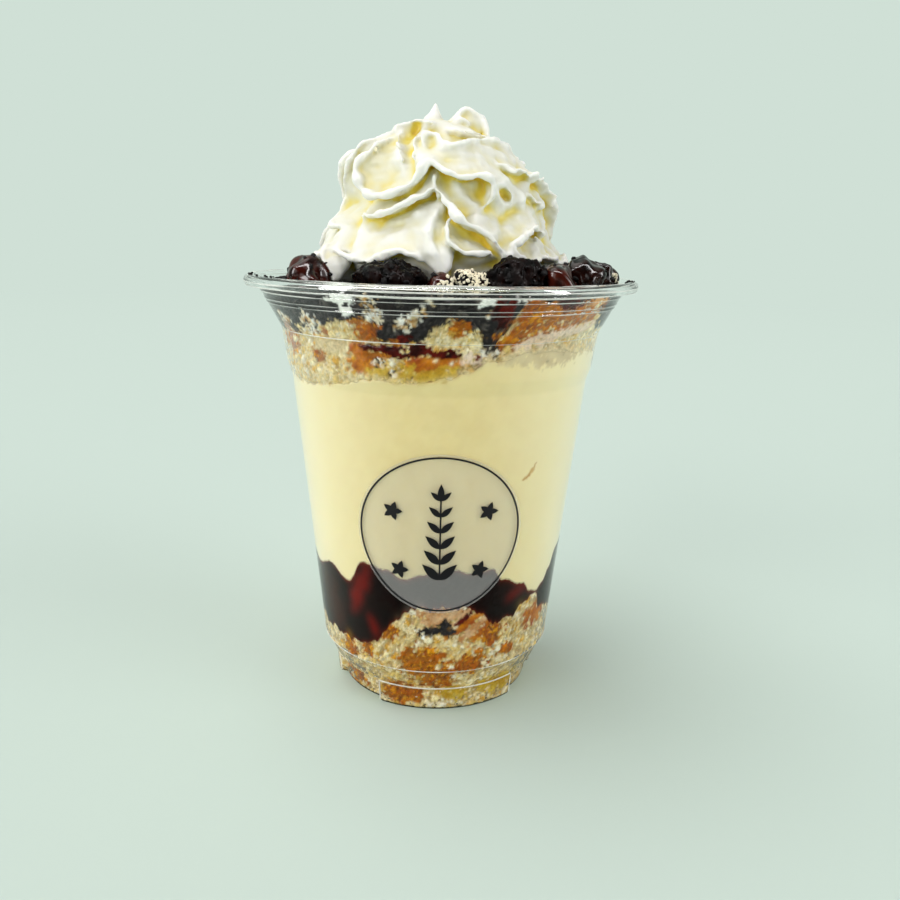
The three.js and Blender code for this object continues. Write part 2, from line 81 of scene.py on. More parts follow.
def addNode(tree, kind, feeds=None, **settings):
    node = tree.nodes.new(kind)
    for name, value in settings.items():
        setattr(node, name, value)
    for name, value in (feeds or {}).items():
        socket = node.inputs[name]
        if isinstance(value, bpy.types.NodeSocket):
            tree.links.new(value, socket)
        else:
            socket.default_value = value
    return node


def addMath(tree, operation, first, second=0.0, third=0.0):
    node = addNode(tree, "ShaderNodeMath", {0: first, 1: second, 2: third}, operation=operation)
    return node.outputs[0]


def addScaled(tree, colour, level):
    # a colour made lighter or darker by a value
    return addNode(tree, "ShaderNodeVectorMath", {0: colour, 3: level}, operation="SCALE").outputs[0]


def addRange(tree, value, start, stop, first=0.0, last=1.0):
    # a value from start to stop, clamped, carried over to first to last
    return addNode(tree, "ShaderNodeMapRange", {
        "Value": value, "From Min": start, "From Max": stop, "To Min": first, "To Max": last}).outputs[0]


def addVector(tree, **parts):
    return addNode(tree, "ShaderNodeCombineXYZ", parts).outputs[0]


def splitPlace(tree, place):
    return addNode(tree, "ShaderNodeSeparateXYZ", {0: place}).outputs


def objectPlace(tree):
    return addNode(tree, "ShaderNodeTexCoord").outputs["Object"]


def pointPlace(tree):
    return addNode(tree, "GeometryNodeInputPosition").outputs[0]


def newGroup(name, kind, inputs, outputs):
    # a whole number makes an integer input, another number a float one, and a word names another kind
    tree = bpy.data.node_groups.new(name, kind)
    for label, value in inputs.items():
        plain = {int: "Int", float: "Float"}.get(type(value), value)
        item = tree.interface.new_socket(label, in_out="INPUT", socket_type="NodeSocket" + plain)
        if plain != value:
            item.default_value = value
    for label, socket in outputs.items():
        tree.interface.new_socket(label, in_out="OUTPUT", socket_type="NodeSocket" + socket)
    return tree, tree.nodes.new("NodeGroupInput").outputs, tree.nodes.new("NodeGroupOutput").inputs


def newGrower(name, inputs):
    # a geometry node tree that takes a mesh and a material
    inputs = {"Geometry": "Geometry", **inputs, "Material": "Material"}
    return newGroup(name, "GeometryNodeTree", inputs, {"Geometry": "Geometry"})


def endGrower(tree, given, made, grown):
    # makes what has grown real and gives it the material
    real = addNode(tree, "GeometryNodeRealizeInstances", {"Geometry": grown.outputs[0]})
    painted = addNode(tree, "GeometryNodeSetMaterial", {
        "Geometry": real.outputs[0], "Material": given["Material"]})
    tree.links.new(painted.outputs[0], made["Geometry"])
    return tree


def addObject(name, data):
    thing = bpy.data.objects.new(name, data)
    bpy.context.scene.collection.objects.link(thing)
    return thing


def evaluatedMesh(piece):
    return bpy.data.meshes.new_from_object(piece.evaluated_get(bpy.context.evaluated_depsgraph_get()))


def makePiece(name, points, faces, material, smooth=True, values=None, colours=None):
    # points in millimetres; values and colours are attributes on the points
    mesh = bpy.data.meshes.new(name)
    mesh.from_pydata((np.asarray(points) * mm).tolist(), [], faces)
    for label, numbers in (values or {}).items():
        layer = mesh.attributes.new(label, "FLOAT", "POINT")
        layer.data.foreach_set("value", np.asarray(numbers, np.float32))
    for label, numbers in (colours or {}).items():
        layer = mesh.attributes.new(label, "FLOAT_COLOR", "POINT")
        full = np.ones((len(numbers), 4), np.float32)
        full[:, :3] = numbers
        layer.data.foreach_set("color", full.ravel())
    mesh.polygons.foreach_set("use_smooth", [smooth] * len(mesh.polygons))
    mesh.materials.append(material)
    mesh.update()
    return addObject(name, mesh)


def growPiece(source, tree, values, name):
    # runs a geometry node tree on a piece and keeps the result as a plain mesh
    modifier = source.modifiers.new("grow", "NODES")
    modifier.node_group = tree
    for item in tree.interface.items_tree:
        if item.item_type == "SOCKET" and item.in_out == "INPUT" and item.name in values:
            modifier[item.identifier] = values[item.name]
    mesh = evaluatedMesh(source)
    mesh.name = name
    source.modifiers.remove(modifier)
    bpy.data.objects.remove(source)
    return addObject(name, mesh)


def finished(piece, nodes=()):
    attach(piece, "root")
    if nodes:
        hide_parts(*nodes)
    return piece


def ringFaces(rings, sides):
    # quads between rings of points, then a fan to a pole at each end
    faces = []
    turn = np.arange(sides)
    following = (turn + 1) % sides
    for low in range(0, (rings - 1) * sides, sides):
        high = low + sides
        faces += np.stack([low + turn, low + following, high + following, high + turn], axis=1).tolist()
    pole = np.full(sides, rings * sides)
    top = (rings - 1) * sides
    faces += np.stack([pole, following, turn], axis=1).tolist()
    faces += np.stack([pole + 1, top + turn, top + following], axis=1).tolist()
    return faces


# Camera, floor and lights. The camera is the one fitted to the photo.
cameraFit = {"position": (0, -214.5, 115.8), "pitch": 14.24, "roll": 1.24, "yaw": 0.83, "lens": 33.11}


def setCamera():
    pitch, roll, yaw = (math.radians(cameraFit[key]) for key in ("pitch", "roll", "yaw"))
    side = Vector((math.cos(yaw), -math.sin(yaw), 0))
    rise = Vector((math.sin(yaw) * math.sin(pitch), math.cos(yaw) * math.sin(pitch), math.cos(pitch)))
    ahead = Vector((math.sin(yaw) * math.cos(pitch), math.cos(yaw) * math.cos(pitch), -math.sin(pitch)))
    right = math.cos(roll) * side + math.sin(roll) * rise
    up = -math.sin(roll) * side + math.cos(roll) * rise
    data = bpy.data.cameras.new("photo_camera")
    data.lens = cameraFit["lens"]
    data.sensor_width = 36
    data.clip_start = 0.01
    camera = addObject("photo_camera", data)
    turned = Matrix((right, up, -ahead)).transposed().to_4x4()
    camera.matrix_world = Matrix.Translation(Vector(cameraFit["position"]) * mm) @ turned
    bpy.context.scene.camera = camera


studio = {
    "paper": (208, 224, 214), "floor": (187, 203, 196), "glow": 0.1, "reach": 30000,
    # way to the light, strength, spread in degrees, colour
    "suns": [("key", (-0.35, 0.1, 0.93), 1.6, 50, (1, 0.985, 0.955)),
             ("front", (-0.75, -0.75, 0.35), 1.2, 40, (1, 0.985, 0.955)),
             ("side", (0.9, -0.4, 0.4), 0.8, 40, (1, 1, 1))],
    # softboxes that show as reflections alone: place, target, width and height, watts
    "boxes": [("left", (-420, -260, 260), (0, 0, 80), (160, 420), 4),
              ("right", (460, -200, 220), (0, 0, 80), (90, 380), 3),
              ("top", (0, -260, 620), (0, -40, 100), (620, 60), 6)],
    "world": 0.24, "walls": 0.95, "room": 0.03, "mirrored": 0.1,
    "sink": -0.3,  # the floor lies just under the foot
    "fade": (0.25, 1.6),  # metres over which the floor goes over into the paper's colour
    "dim": (-0.05, 0.1),  # metres behind the cup over which gloss stops mirroring the dark room
}


def newMaterial(name):
    material = bpy.data.materials.new(name)
    material.use_nodes = True
    return material, material.node_tree, material.node_tree.nodes["Principled BSDF"]


def feed(tree, shader, **sockets):
    # sets or links the shader's sockets, named in camelCase for short
    names = {
        "colour": "Base Color", "roughness": "Roughness", "specular": "Specular IOR Level", "alpha": "Alpha",
        "transmission": "Transmission Weight", "ior": "IOR", "glow": "Emission Strength",
        "glowColour": "Emission Color", "soft": "Subsurface Weight", "softRadius": "Subsurface Radius",
        "softScale": "Subsurface Scale"}
    for name, value in sockets.items():
        socket = shader.inputs[names[name]]
        if isinstance(value, bpy.types.NodeSocket):
            tree.links.new(value, socket)
        else:
            socket.default_value = value


def addBump(tree, shader, height, strength, distance):
    bump = addNode(tree, "ShaderNodeBump", {"Height": height, "Strength": strength, "Distance": distance})
    tree.links.new(bump.outputs["Normal"], shader.inputs["Normal"])


def mixShaders(tree, share, first, second):
    return addNode(tree, "ShaderNodeMixShader", {0: share, 1: first, 2: second}).outputs[0]


def paperMaterial():
    material, tree, shader = newMaterial("studio_paper")
    place = objectPlace(tree)
    fibre = addNode(tree, "ShaderNodeTexNoise", {"Vector": place, "Scale": 900.0})
    addBump(tree, shader, fibre.outputs["Fac"], 0.02, 0.0002)
    feed(tree, shader, colour=rgba(*studio["floor"]), roughness=1, specular=0,
         glowColour=rgba(*studio["paper"]), glow=studio["glow"])
    # the front of the cup mirrors a dark room, its sides the pale paper beside and behind it
    spot = splitPlace(tree, place)
    aside = addMath(tree, "MULTIPLY_ADD", addMath(tree, "ABSOLUTE", spot["X"]), 0.6, spot["Y"])
    dim = addRange(tree, aside, *studio["dim"], 1 - studio["mirrored"], 0.0)
    glossy = addNode(tree, "ShaderNodeLightPath").outputs["Is Glossy Ray"]
    dark = addNode(tree, "ShaderNodeEmission", {"Strength": 0.0})
    mixed = mixShaders(tree, addMath(tree, "MULTIPLY", glossy, dim), shader.outputs[0], dark.outputs[0])
    # far away the floor goes over into the colour of the paper behind it
    far = addNode(tree, "ShaderNodeVectorMath", {0: place}, operation="LENGTH").outputs["Value"]
    paper = addNode(tree, "ShaderNodeEmission", {"Color": rgba(*studio["paper"]), "Strength": 1.0})
    whole = mixShaders(tree, addRange(tree, far, *studio["fade"]), mixed, paper.outputs[0])
    tree.links.new(whole, tree.nodes["Material Output"].inputs["Surface"])
    return material


def addLamp(name, kind, way):
    lamp = addObject(name, bpy.data.lights.new(name, kind))
    lamp.rotation_euler = (-Vector(way)).to_track_quat("-Z", "Y").to_euler()
    return lamp


def setStudio():
    reach = studio["reach"]
    corners = [(x * reach, y * reach, studio["sink"]) for x, y in ((-1, -1), (1, -1), (1, 1), (-1, 1))]
    makePiece("studio_floor", corners, [(0, 1, 2, 3)], paperMaterial())
    for name, way, strength, spread, colour in studio["suns"]:
        lamp = addLamp(name + "_sun", "SUN", way)
        lamp.data.energy = strength
        lamp.data.angle = math.radians(spread)
        lamp.data.color = colour
    for name, place, target, size, watts in studio["boxes"]:
        lamp = addLamp(name + "_box", "AREA", Vector(place) - Vector(target))
        lamp.location = Vector(place) * mm
        lamp.data.shape = "RECTANGLE"
        lamp.data.size = size[0] * mm
        lamp.data.size_y = size[1] * mm
        lamp.data.energy = watts
        lamp.visible_diffuse = False
    world = bpy.data.worlds.new("studio_world")
    bpy.context.scene.world = world
    world.use_nodes = True
    tree = world.node_tree
    light = tree.nodes["Background"]
    light.inputs["Color"].default_value = (1, 0.98, 0.955, 1)
    way = splitPlace(tree, addNode(tree, "ShaderNodeTexCoord").outputs["Generated"])
    # the walls at both sides and behind are brighter than the ceiling and the room in front
    beside = addMath(tree, "MAXIMUM", addMath(tree, "ABSOLUTE", way["X"]), way["Y"])
    strength = addRange(tree, beside, 0.3, 1.0, studio["world"], studio["walls"])
    tree.links.new(strength, light.inputs["Strength"])
    # the paper's own colour goes on behind the far edge of the floor; the room in front is dark
    behind = addRange(tree, way["Y"], -0.15, 0.25, studio["room"])
    path = addNode(tree, "ShaderNodeLightPath").outputs
    paper = addNode(tree, "ShaderNodeBackground", {
        "Color": rgba(*studio["paper"]), "Strength": addMath(tree, "MAXIMUM", behind, path["Is Camera Ray"])})
    mixed = mixShaders(tree, path["Is Diffuse Ray"], paper.outputs[0], light.outputs[0])
    tree.links.new(mixed, tree.nodes["World Output"].inputs["Surface"])
    bpy.context.scene.view_settings.view_transform = "Standard"


setCamera()
setStudio()
print("studio set")


def grainGroup():
    # fine noise over the surface, as a value about 0.5 and as a height
    inputs = {"Scale": 900.0, "Detail": 4.0, "Contrast": 1.0}
    tree, given, made = newGroup("fine_grain", "ShaderNodeTree", inputs, {"Grain": "Float", "Height": "Float"})
    noise = addNode(tree, "ShaderNodeTexNoise", {
        "Vector": objectPlace(tree), "Scale": given["Scale"], "Detail": given["Detail"]}).outputs["Fac"]
    centred = addMath(tree, "SUBTRACT", noise, 0.5)
    tree.links.new(addMath(tree, "MULTIPLY_ADD", centred, given["Contrast"], 0.5), made["Grain"])
    tree.links.new(noise, made["Height"])
    return tree


def smudgeGroup():
    # faint cloudy handling marks, as a roughness
    tree, given, made = newGroup("smudges", "ShaderNodeTree", {"Scale": 40.0, "Clean": 0.03, "Marked": 0.12},
                                 {"Roughness": "Float"})
    noise = addNode(tree, "ShaderNodeTexNoise", {
        "Vector": objectPlace(tree), "Scale": given["Scale"], "Detail": 5.0}).outputs["Fac"]
    tree.links.new(addRange(tree, noise, 0.45, 0.8, given["Clean"], given["Marked"]), made["Roughness"])
    return tree


grain = grainGroup()
smudges = smudgeGroup()


def placeGroup(tree, group, **values):
    node = addNode(tree, "ShaderNodeGroup", values, node_tree=group)
    return node.outputs


def grainy(tree, colour, amount, least, **values):
    # a colour that fine grain makes a little lighter and darker
    level = addMath(tree, "MULTIPLY_ADD", placeGroup(tree, grain, **values)["Grain"], amount, least)
    return addScaled(tree, colour, level)


foodLook = {
    "grain": 1500.0, "contrast": 0.9, "dull": 0.95, "shiny": 0.3, "specular": 0.12, "bump": 0.5,
    "bumpDepth": 0.25, "soft": 0.0, "softRadius": (1.0, 0.7, 0.3), "softScale": 1.0,
}


def foodMaterial(name, differs):
    # takes its colour and gloss from the attributes tint and gloss, with fine grain over both
    look = {**foodLook, **differs}
    material, tree, shader = newMaterial(name)
    tint = addNode(tree, "ShaderNodeAttribute", attribute_name="tint").outputs["Color"]
    gloss = addNode(tree, "ShaderNodeAttribute", attribute_name="gloss").outputs["Fac"]
    speck = placeGroup(tree, grain, Scale=look["grain"], Contrast=look["contrast"])
    level = addMath(tree, "MULTIPLY_ADD", speck["Grain"], 1.0, 0.5)
    feed(tree, shader, colour=addScaled(tree, tint, level), soft=look["soft"], softRadius=look["softRadius"],
         roughness=addRange(tree, gloss, 0.0, 1.0, look["dull"], look["shiny"]),
         softScale=look["softScale"] * mm, specular=look["specular"])
    addBump(tree, shader, speck["Height"], look["bump"], look["bumpDepth"] * mm)
    return material


cup = {
    "wall": 0.8, "sides": 240, "corner": 0.7,
    "recessDepth": 1.6, "recessWidth": 40, "recessFirst": 68, "recessTop": 6.2,
    # underside and outer face from the middle of the foot to under the lip, as radius and height
    "under": [(0, 2.2), (20, 2.2), (21.5, 0)],
    "outer": [(26.8, 0), (27.4, 6.2), (29.9, 11.8), (30.6, 12.5), (30.6, 13.6), (37.8, 82.6), (38.9, 85.8),
              (40.1, 94.3), (45.3, 103.9)],
    # rolled lip from the outer face round and down to the inner face
    "lip": [(46, 105), (46.9, 105.9), (47.7, 106.2), (48.2, 105.9), (48.3, 105.2), (48.1, 104.75),
            (48.35, 104.4), (48.8, 104.65), (49, 105.4), (48.85, 106.3), (48.3, 106.85), (47.6, 107),
            (46.6, 106.7), (45.6, 105.9), (44.9, 104.9), (44.5, 104.1)],
    # fine raised rings on the collar
    "rings": [100.6, 101.5, 103.2], "ringRise": 0.22, "ringHalf": 0.32,
    "floorInset": 0.4,  # how much further in the bends of the inner floor lie
    "footRadius": 24,  # the feet's faces lie outside it
}


def outerRadius(z):
    return along(cup["outer"], z)


def recessShare(azimuth):
    # 1 inside the three recesses between the feet, 0 elsewhere
    turned = (np.asarray(azimuth, float) - cup["recessFirst"] + 60) % 120 - 60
    return 1 - np.clip((np.abs(turned) - cup["recessWidth"] / 2 + 1) / 2, 0, 1)


def roundedLine(points, radius):
    # each corner of a line of points swapped for a short bend
    points = [np.array(point, float) for point in points]
    line = [points[0]]
    for before, here, after in zip(points, points[1:], points[2:]):
        back = before - here
        on = after - here
        cut = [min(radius, 0.42 * np.linalg.norm(way)) for way in (back, on)]
        start = here + back / np.linalg.norm(back) * cut[0]
        end = here + on / np.linalg.norm(on) * cut[1]
        for share in (0, 0.5, 1):
            line.append((1 - share) ** 2 * start + 2 * share * (1 - share) * here + share ** 2 * end)
    return line + [points[-1]]


def cupProfile():
    outer = []
    for (fromRadius, low), (toRadius, high) in zip(cup["outer"], cup["outer"][1:]):
        outer.append((fromRadius, low))
        for ring in cup["rings"]:
            if low < ring < high:
                for step, rise in ((-cup["ringHalf"], 0), (0, cup["ringRise"]), (cup["ringHalf"], 0)):
                    outer.append((float(outerRadius(ring + step)) + rise, ring + step))
    outer.append(cup["outer"][-1])
    inner = [(radius - cup["wall"], max(z, cup["wall"])) for radius, z in reversed(cup["outer"][:-1])]
    floor = [(max(radius - cup["floorInset"], 0), z + cup["wall"]) for radius, z in reversed(cup["under"])]
    return roundedLine(cup["under"] + outer + cup["lip"] + inner + floor, cup["corner"])


def latheTree():
    # turns a profile (radius, weight of the recess, height) round the Z axis
    tree, given, made = newGrower("turned_cup", {
        "Sides": 240, "Rows": 60, "Recess Depth": 0.0016, "Recess Width": 40.0, "Recess First": 68.0})
    columns = addMath(tree, "ADD", given["Sides"], 1.0)
    grid = addNode(tree, "GeometryNodeMeshGrid", {
        "Size X": 1.0, "Size Y": 1.0, "Vertices X": columns, "Vertices Y": given["Rows"]})
    place = splitPlace(tree, pointPlace(tree))
    turnShare = addMath(tree, "ADD", place["X"], 0.5)
    upShare = addMath(tree, "ADD", place["Y"], 0.5)
    last = addMath(tree, "SUBTRACT", given["Rows"], 1.0)
    row = addMath(tree, "ROUND", addMath(tree, "MULTIPLY", upShare, last))
    profile = addNode(tree, "GeometryNodeSampleIndex", {
        "Geometry": given["Geometry"], "Value": pointPlace(tree), "Index": row}, data_type="FLOAT_VECTOR")
    point = splitPlace(tree, profile.outputs[0])
    degrees = addMath(tree, "MULTIPLY", turnShare, 360.0)
    # distance in degrees from the middle of the nearest of three recesses
    shifted = addMath(tree, "ADD", addMath(tree, "SUBTRACT", degrees, given["Recess First"]), 420.0)
    turned = addMath(tree, "MODULO", shifted, 120.0)
    folded = addMath(tree, "ABSOLUTE", addMath(tree, "SUBTRACT", turned, 60.0))
    half = addMath(tree, "MULTIPLY", given["Recess Width"], 0.5)
    inset = addRange(tree, folded, addMath(tree, "SUBTRACT", half, 1.0), addMath(tree, "ADD", half, 1.0),
                     given["Recess Depth"], 0.0)
    radius = addMath(tree, "SUBTRACT", point["X"], addMath(tree, "MULTIPLY", inset, point["Y"]))
    angle = addMath(tree, "RADIANS", degrees)
    ahead = addMath(tree, "MULTIPLY", radius, addMath(tree, "COSINE", angle))
    turned = addVector(tree, X=addMath(tree, "MULTIPLY", radius, addMath(tree, "SINE", angle)),
                       Y=addMath(tree, "MULTIPLY", ahead, -1.0), Z=point["Z"])
    placed = addNode(tree, "GeometryNodeSetPosition", {"Geometry": grid.outputs[0], "Position": turned})
    merged = addNode(tree, "GeometryNodeMergeByDistance", {
        "Geometry": placed.outputs[0], "Distance": 0.000005})
    smooth = addNode(tree, "GeometryNodeSetShadeSmooth", {"Geometry": merged.outputs[0]})
    return endGrower(tree, given, made, smooth)


def clearPlastic():
    material, tree, shader = newMaterial("clear_plastic")
    marks = placeGroup(tree, smudges, Scale=38.0, Clean=0.015, Marked=0.09)
    feed(tree, shader, roughness=marks["Roughness"], colour=(0.985, 0.995, 0.99, 1), transmission=1,
         ior=1.45, specular=0.3)
    addBump(tree, shader, placeGroup(tree, grain, Scale=60.0, Detail=1.0)["Height"], 0.06, 0.0006)
    # lamps shine on the food through the wall, instead of being focused by it
    path = addNode(tree, "ShaderNodeLightPath").outputs
    skip = addMath(tree, "MAXIMUM", path["Is Shadow Ray"], path["Is Diffuse Ray"])
    clear = addNode(tree, "ShaderNodeBsdfTransparent", {"Color": (0.96, 0.975, 0.965, 1)})
    mixed = mixShaders(tree, skip, shader.outputs[0], clear.outputs[0])
    tree.links.new(mixed, tree.nodes["Material Output"].inputs["Surface"])
    return material


def makeCup():
    # the recess cuts the foot's outer and inner face, up to its top: the middle number is its weight
    points = []
    for radius, z in cupProfile():
        cut = z < cup["recessTop"] + 0.1 and radius > cup["footRadius"]
        points.append((radius, 1.0 / mm if cut else 0, z))
    line = makePiece("cup_profile", points, [], clearPlastic())
    values = {"Sides": cup["sides"], "Rows": len(points), "Recess Depth": cup["recessDepth"] * mm,
              "Recess Width": float(cup["recessWidth"]), "Recess First": float(cup["recessFirst"]),
              "Material": line.data.materials[0]}
    return finished(growPiece(line, latheTree(), values, "clear_cup"), ["cup"])


def cordTree():
    # a round cord along each line of points, as thick as its attribute says
    tree, given, made = newGrower("round_cords", {"Sides": 10})
    curve = addNode(tree, "GeometryNodeMeshToCurve", {"Mesh": given["Geometry"]})
    thick = addNode(tree, "GeometryNodeInputNamedAttribute", {"Name": "thick"})
    ring = addNode(tree, "GeometryNodeCurvePrimitiveCircle", {"Resolution": given["Sides"], "Radius": mm})
    cord = addNode(tree, "GeometryNodeCurveToMesh", {
        "Curve": curve.outputs[0], "Profile Curve": ring.outputs[0], "Scale": thick.outputs[0],
        "Fill Caps": True})
    return endGrower(tree, given, made, cord)


cords = cordTree()


def makeCords(name, lines, sides, material):
    # lines are pairs of points and half thicknesses, in millimetres
    mesh = bpy.data.meshes.new(name + "_lines")
    starts = np.cumsum([0] + [len(point) for point, _ in lines])
    links = [(i, i + 1) for start, stop in zip(starts, starts[1:]) for i in range(start, stop - 1)]
    mesh.from_pydata((np.concatenate([point for point, _ in lines]) * mm).tolist(), links, [])
    mesh.attributes.new("thick", "FLOAT", "POINT").data.foreach_set(
        "value", np.concatenate([thick for _, thick in lines]).astype(np.float32))
    return growPiece(addObject(name + "_lines", mesh), cords, {"Sides": sides, "Material": material}, name)


# Painted highlights: thin white see-through cords laid along the edges of the moulded cup, where they catch
# the light: height and half thickness of those on the wall, with the radius of those on the lip, and how far
# up they run at the ends of the recesses.
highlightCords = {
    "rings": [(12.6, 0.11), (94.3, 0.11), (100.6, 0.08), (101.5, 0.06), (103.2, 0.1), (104.2, 0.14),
              (104.62, 0.14, 48.6), (105.5, 0.16, 48.9), (106.85, 0.16, 47.7)],
    "sunk": 0.3, "uneven": 0.5, "unevenSize": 16,  # shares of the half thickness, and the size of its waves
    "foot": (6.3, 0.23), "feet": (8, 128, 248), "footReach": 38, "ends": (0.6, 6.2), "endGap": 1.2,
    "sides": 6, "alpha": 0.42, "colour": (255, 255, 250),
}


# white, half see-through paint that stands in for highlights on the cup's edges
def brightMaterial():
    material, tree, shader = newMaterial("painted_highlight")
    tinted = grainy(tree, rgba(*highlightCords["colour"])[:3], 0.5, 0.75, Scale=160.0, Detail=3.0, Contrast=1.6)
    feed(tree, shader, colour=tinted, roughness=0.3, alpha=highlightCords["alpha"])
    return material


# cords of painted highlight round the rings, the lip, the tops of the feet and the ends of the recesses
def makeBrightEdges():
    lines = []
    for z, half, *given in highlightCords["rings"]:
        turn = np.append(np.arange(0, 360, 2), 360)
        ring = around(turn, (given[0] if given else outerRadius(z)) - highlightCords["sunk"] * half, z)
        uneven = np.clip(waves(ring, highlightCords["unevenSize"], int(10 * z)), -1, 1)
        lines.append((ring, half * (1 + highlightCords["uneven"] * uneven)))
    z, half = highlightCords["foot"]
    for foot in highlightCords["feet"]:
        turn = np.arange(foot - highlightCords["footReach"], foot + highlightCords["footReach"] + 1, 2)
        lines.append((around(turn, outerRadius(z) + 0.02, z), np.full(len(turn), half)))
        for end in (turn[0] - highlightCords["endGap"], turn[-1] + highlightCords["endGap"]):
            up = np.linspace(*highlightCords["ends"], 6)
            lines.append((around(end + 0 * up, outerRadius(up) - 0.2, up), np.full(6, half)))
    return finished(makeCords("painted_highlights", lines, highlightCords["sides"], brightMaterial()))


makeCup()
makeBrightEdges()
print("cup turned")

edges = {
    # where each layer ends at the wall, as azimuth and height
    "fudgeBottom": [
        (-105, 24), (-75, 19), (-60, 17.8), (-38, 17.6), (-28, 19.6), (-20, 24.8), (-12, 29.4), (-4, 30.4),
        (14, 30.2), (21, 27.6), (26, 25), (35, 25), (45, 28.2), (52, 28.8), (58, 24.5), (72, 22), (100, 26),
        (135, 20), (165, 26), (190, 20), (225, 27)],
    "fudgeTop": [
        (-105, 38), (-78, 37), (-66, 34.6), (-54, 36.9), (-42, 33.8), (-32, 40.4), (-21, 39.6), (-14, 37.6),
        (-4, 39.4), (8, 40.6), (14, 39.2), (24, 40), (29, 36.6), (41, 34.1), (47, 31), (52, 30.2), (57, 31.5),
        (62, 34.5), (68, 39), (78, 41), (100, 37), (130, 40), (160, 36), (190, 40), (222, 35)],
    "custardTop": [
        (-85, 84), (-61, 83.1), (-46, 83.4), (-33, 84.5), (-25, 86.2), (-11, 85.7), (3, 86.9), (9.5, 88.5),
        (16, 90.2), (30, 92.3), (43, 91.9), (65, 90.9), (92, 88.5), (120, 86), (150, 89), (185, 85),
        (215, 88.5), (245, 85)],
    "cakeTop": [
        (-75, 97.6), (-50, 96.4), (-37, 97.8), (-28, 99.5), (-22, 99.8), (-17, 95.6), (-11, 94.1), (-5, 94.6),
        (2.5, 100.2), (8, 98.8), (15.5, 92.9), (19, 96.5), (23, 102), (33, 103), (42, 100.7), (48, 103),
        (57, 102), (66, 97), (90, 98), (115, 95), (140, 99.5), (175, 95.5), (205, 99), (240, 96)],
}


edgeWobble = {  # how far each edge wanders, and the seed of its waves
    "fudgeBottom": (0.65, 21), "fudgeTop": (0.12, 23), "custardTop": (0.4, 25), "cakeTop": (0.5, 27)}


def edgeHeight(name, azimuth):
    # eased height of an edge at any azimuth, with small waves on it
    points = edges[name]
    wobble, seed = edgeWobble[name]
    first = points[0][0]
    turned = (np.asarray(azimuth, float) - first) % 360 + first
    places = np.array([azimuthAt for azimuthAt, _ in points] + [first + 360], float)
    heights = np.array([z for _, z in points] + [points[0][1]], float)
    which = np.clip(np.searchsorted(places, turned, side="right") - 1, 0, len(points) - 1)
    share = (turned - places[which]) / (places[which + 1] - places[which])
    eased = (1 - np.cos(np.pi * share)) / 2
    height = heights[which] + eased * (heights[which + 1] - heights[which])
    ring = around(turned, 34, 0.0)
    return height + wobble * (0.6 * waves(ring, 4, seed) + 0.4 * waves(ring, 1.4, seed + 1))
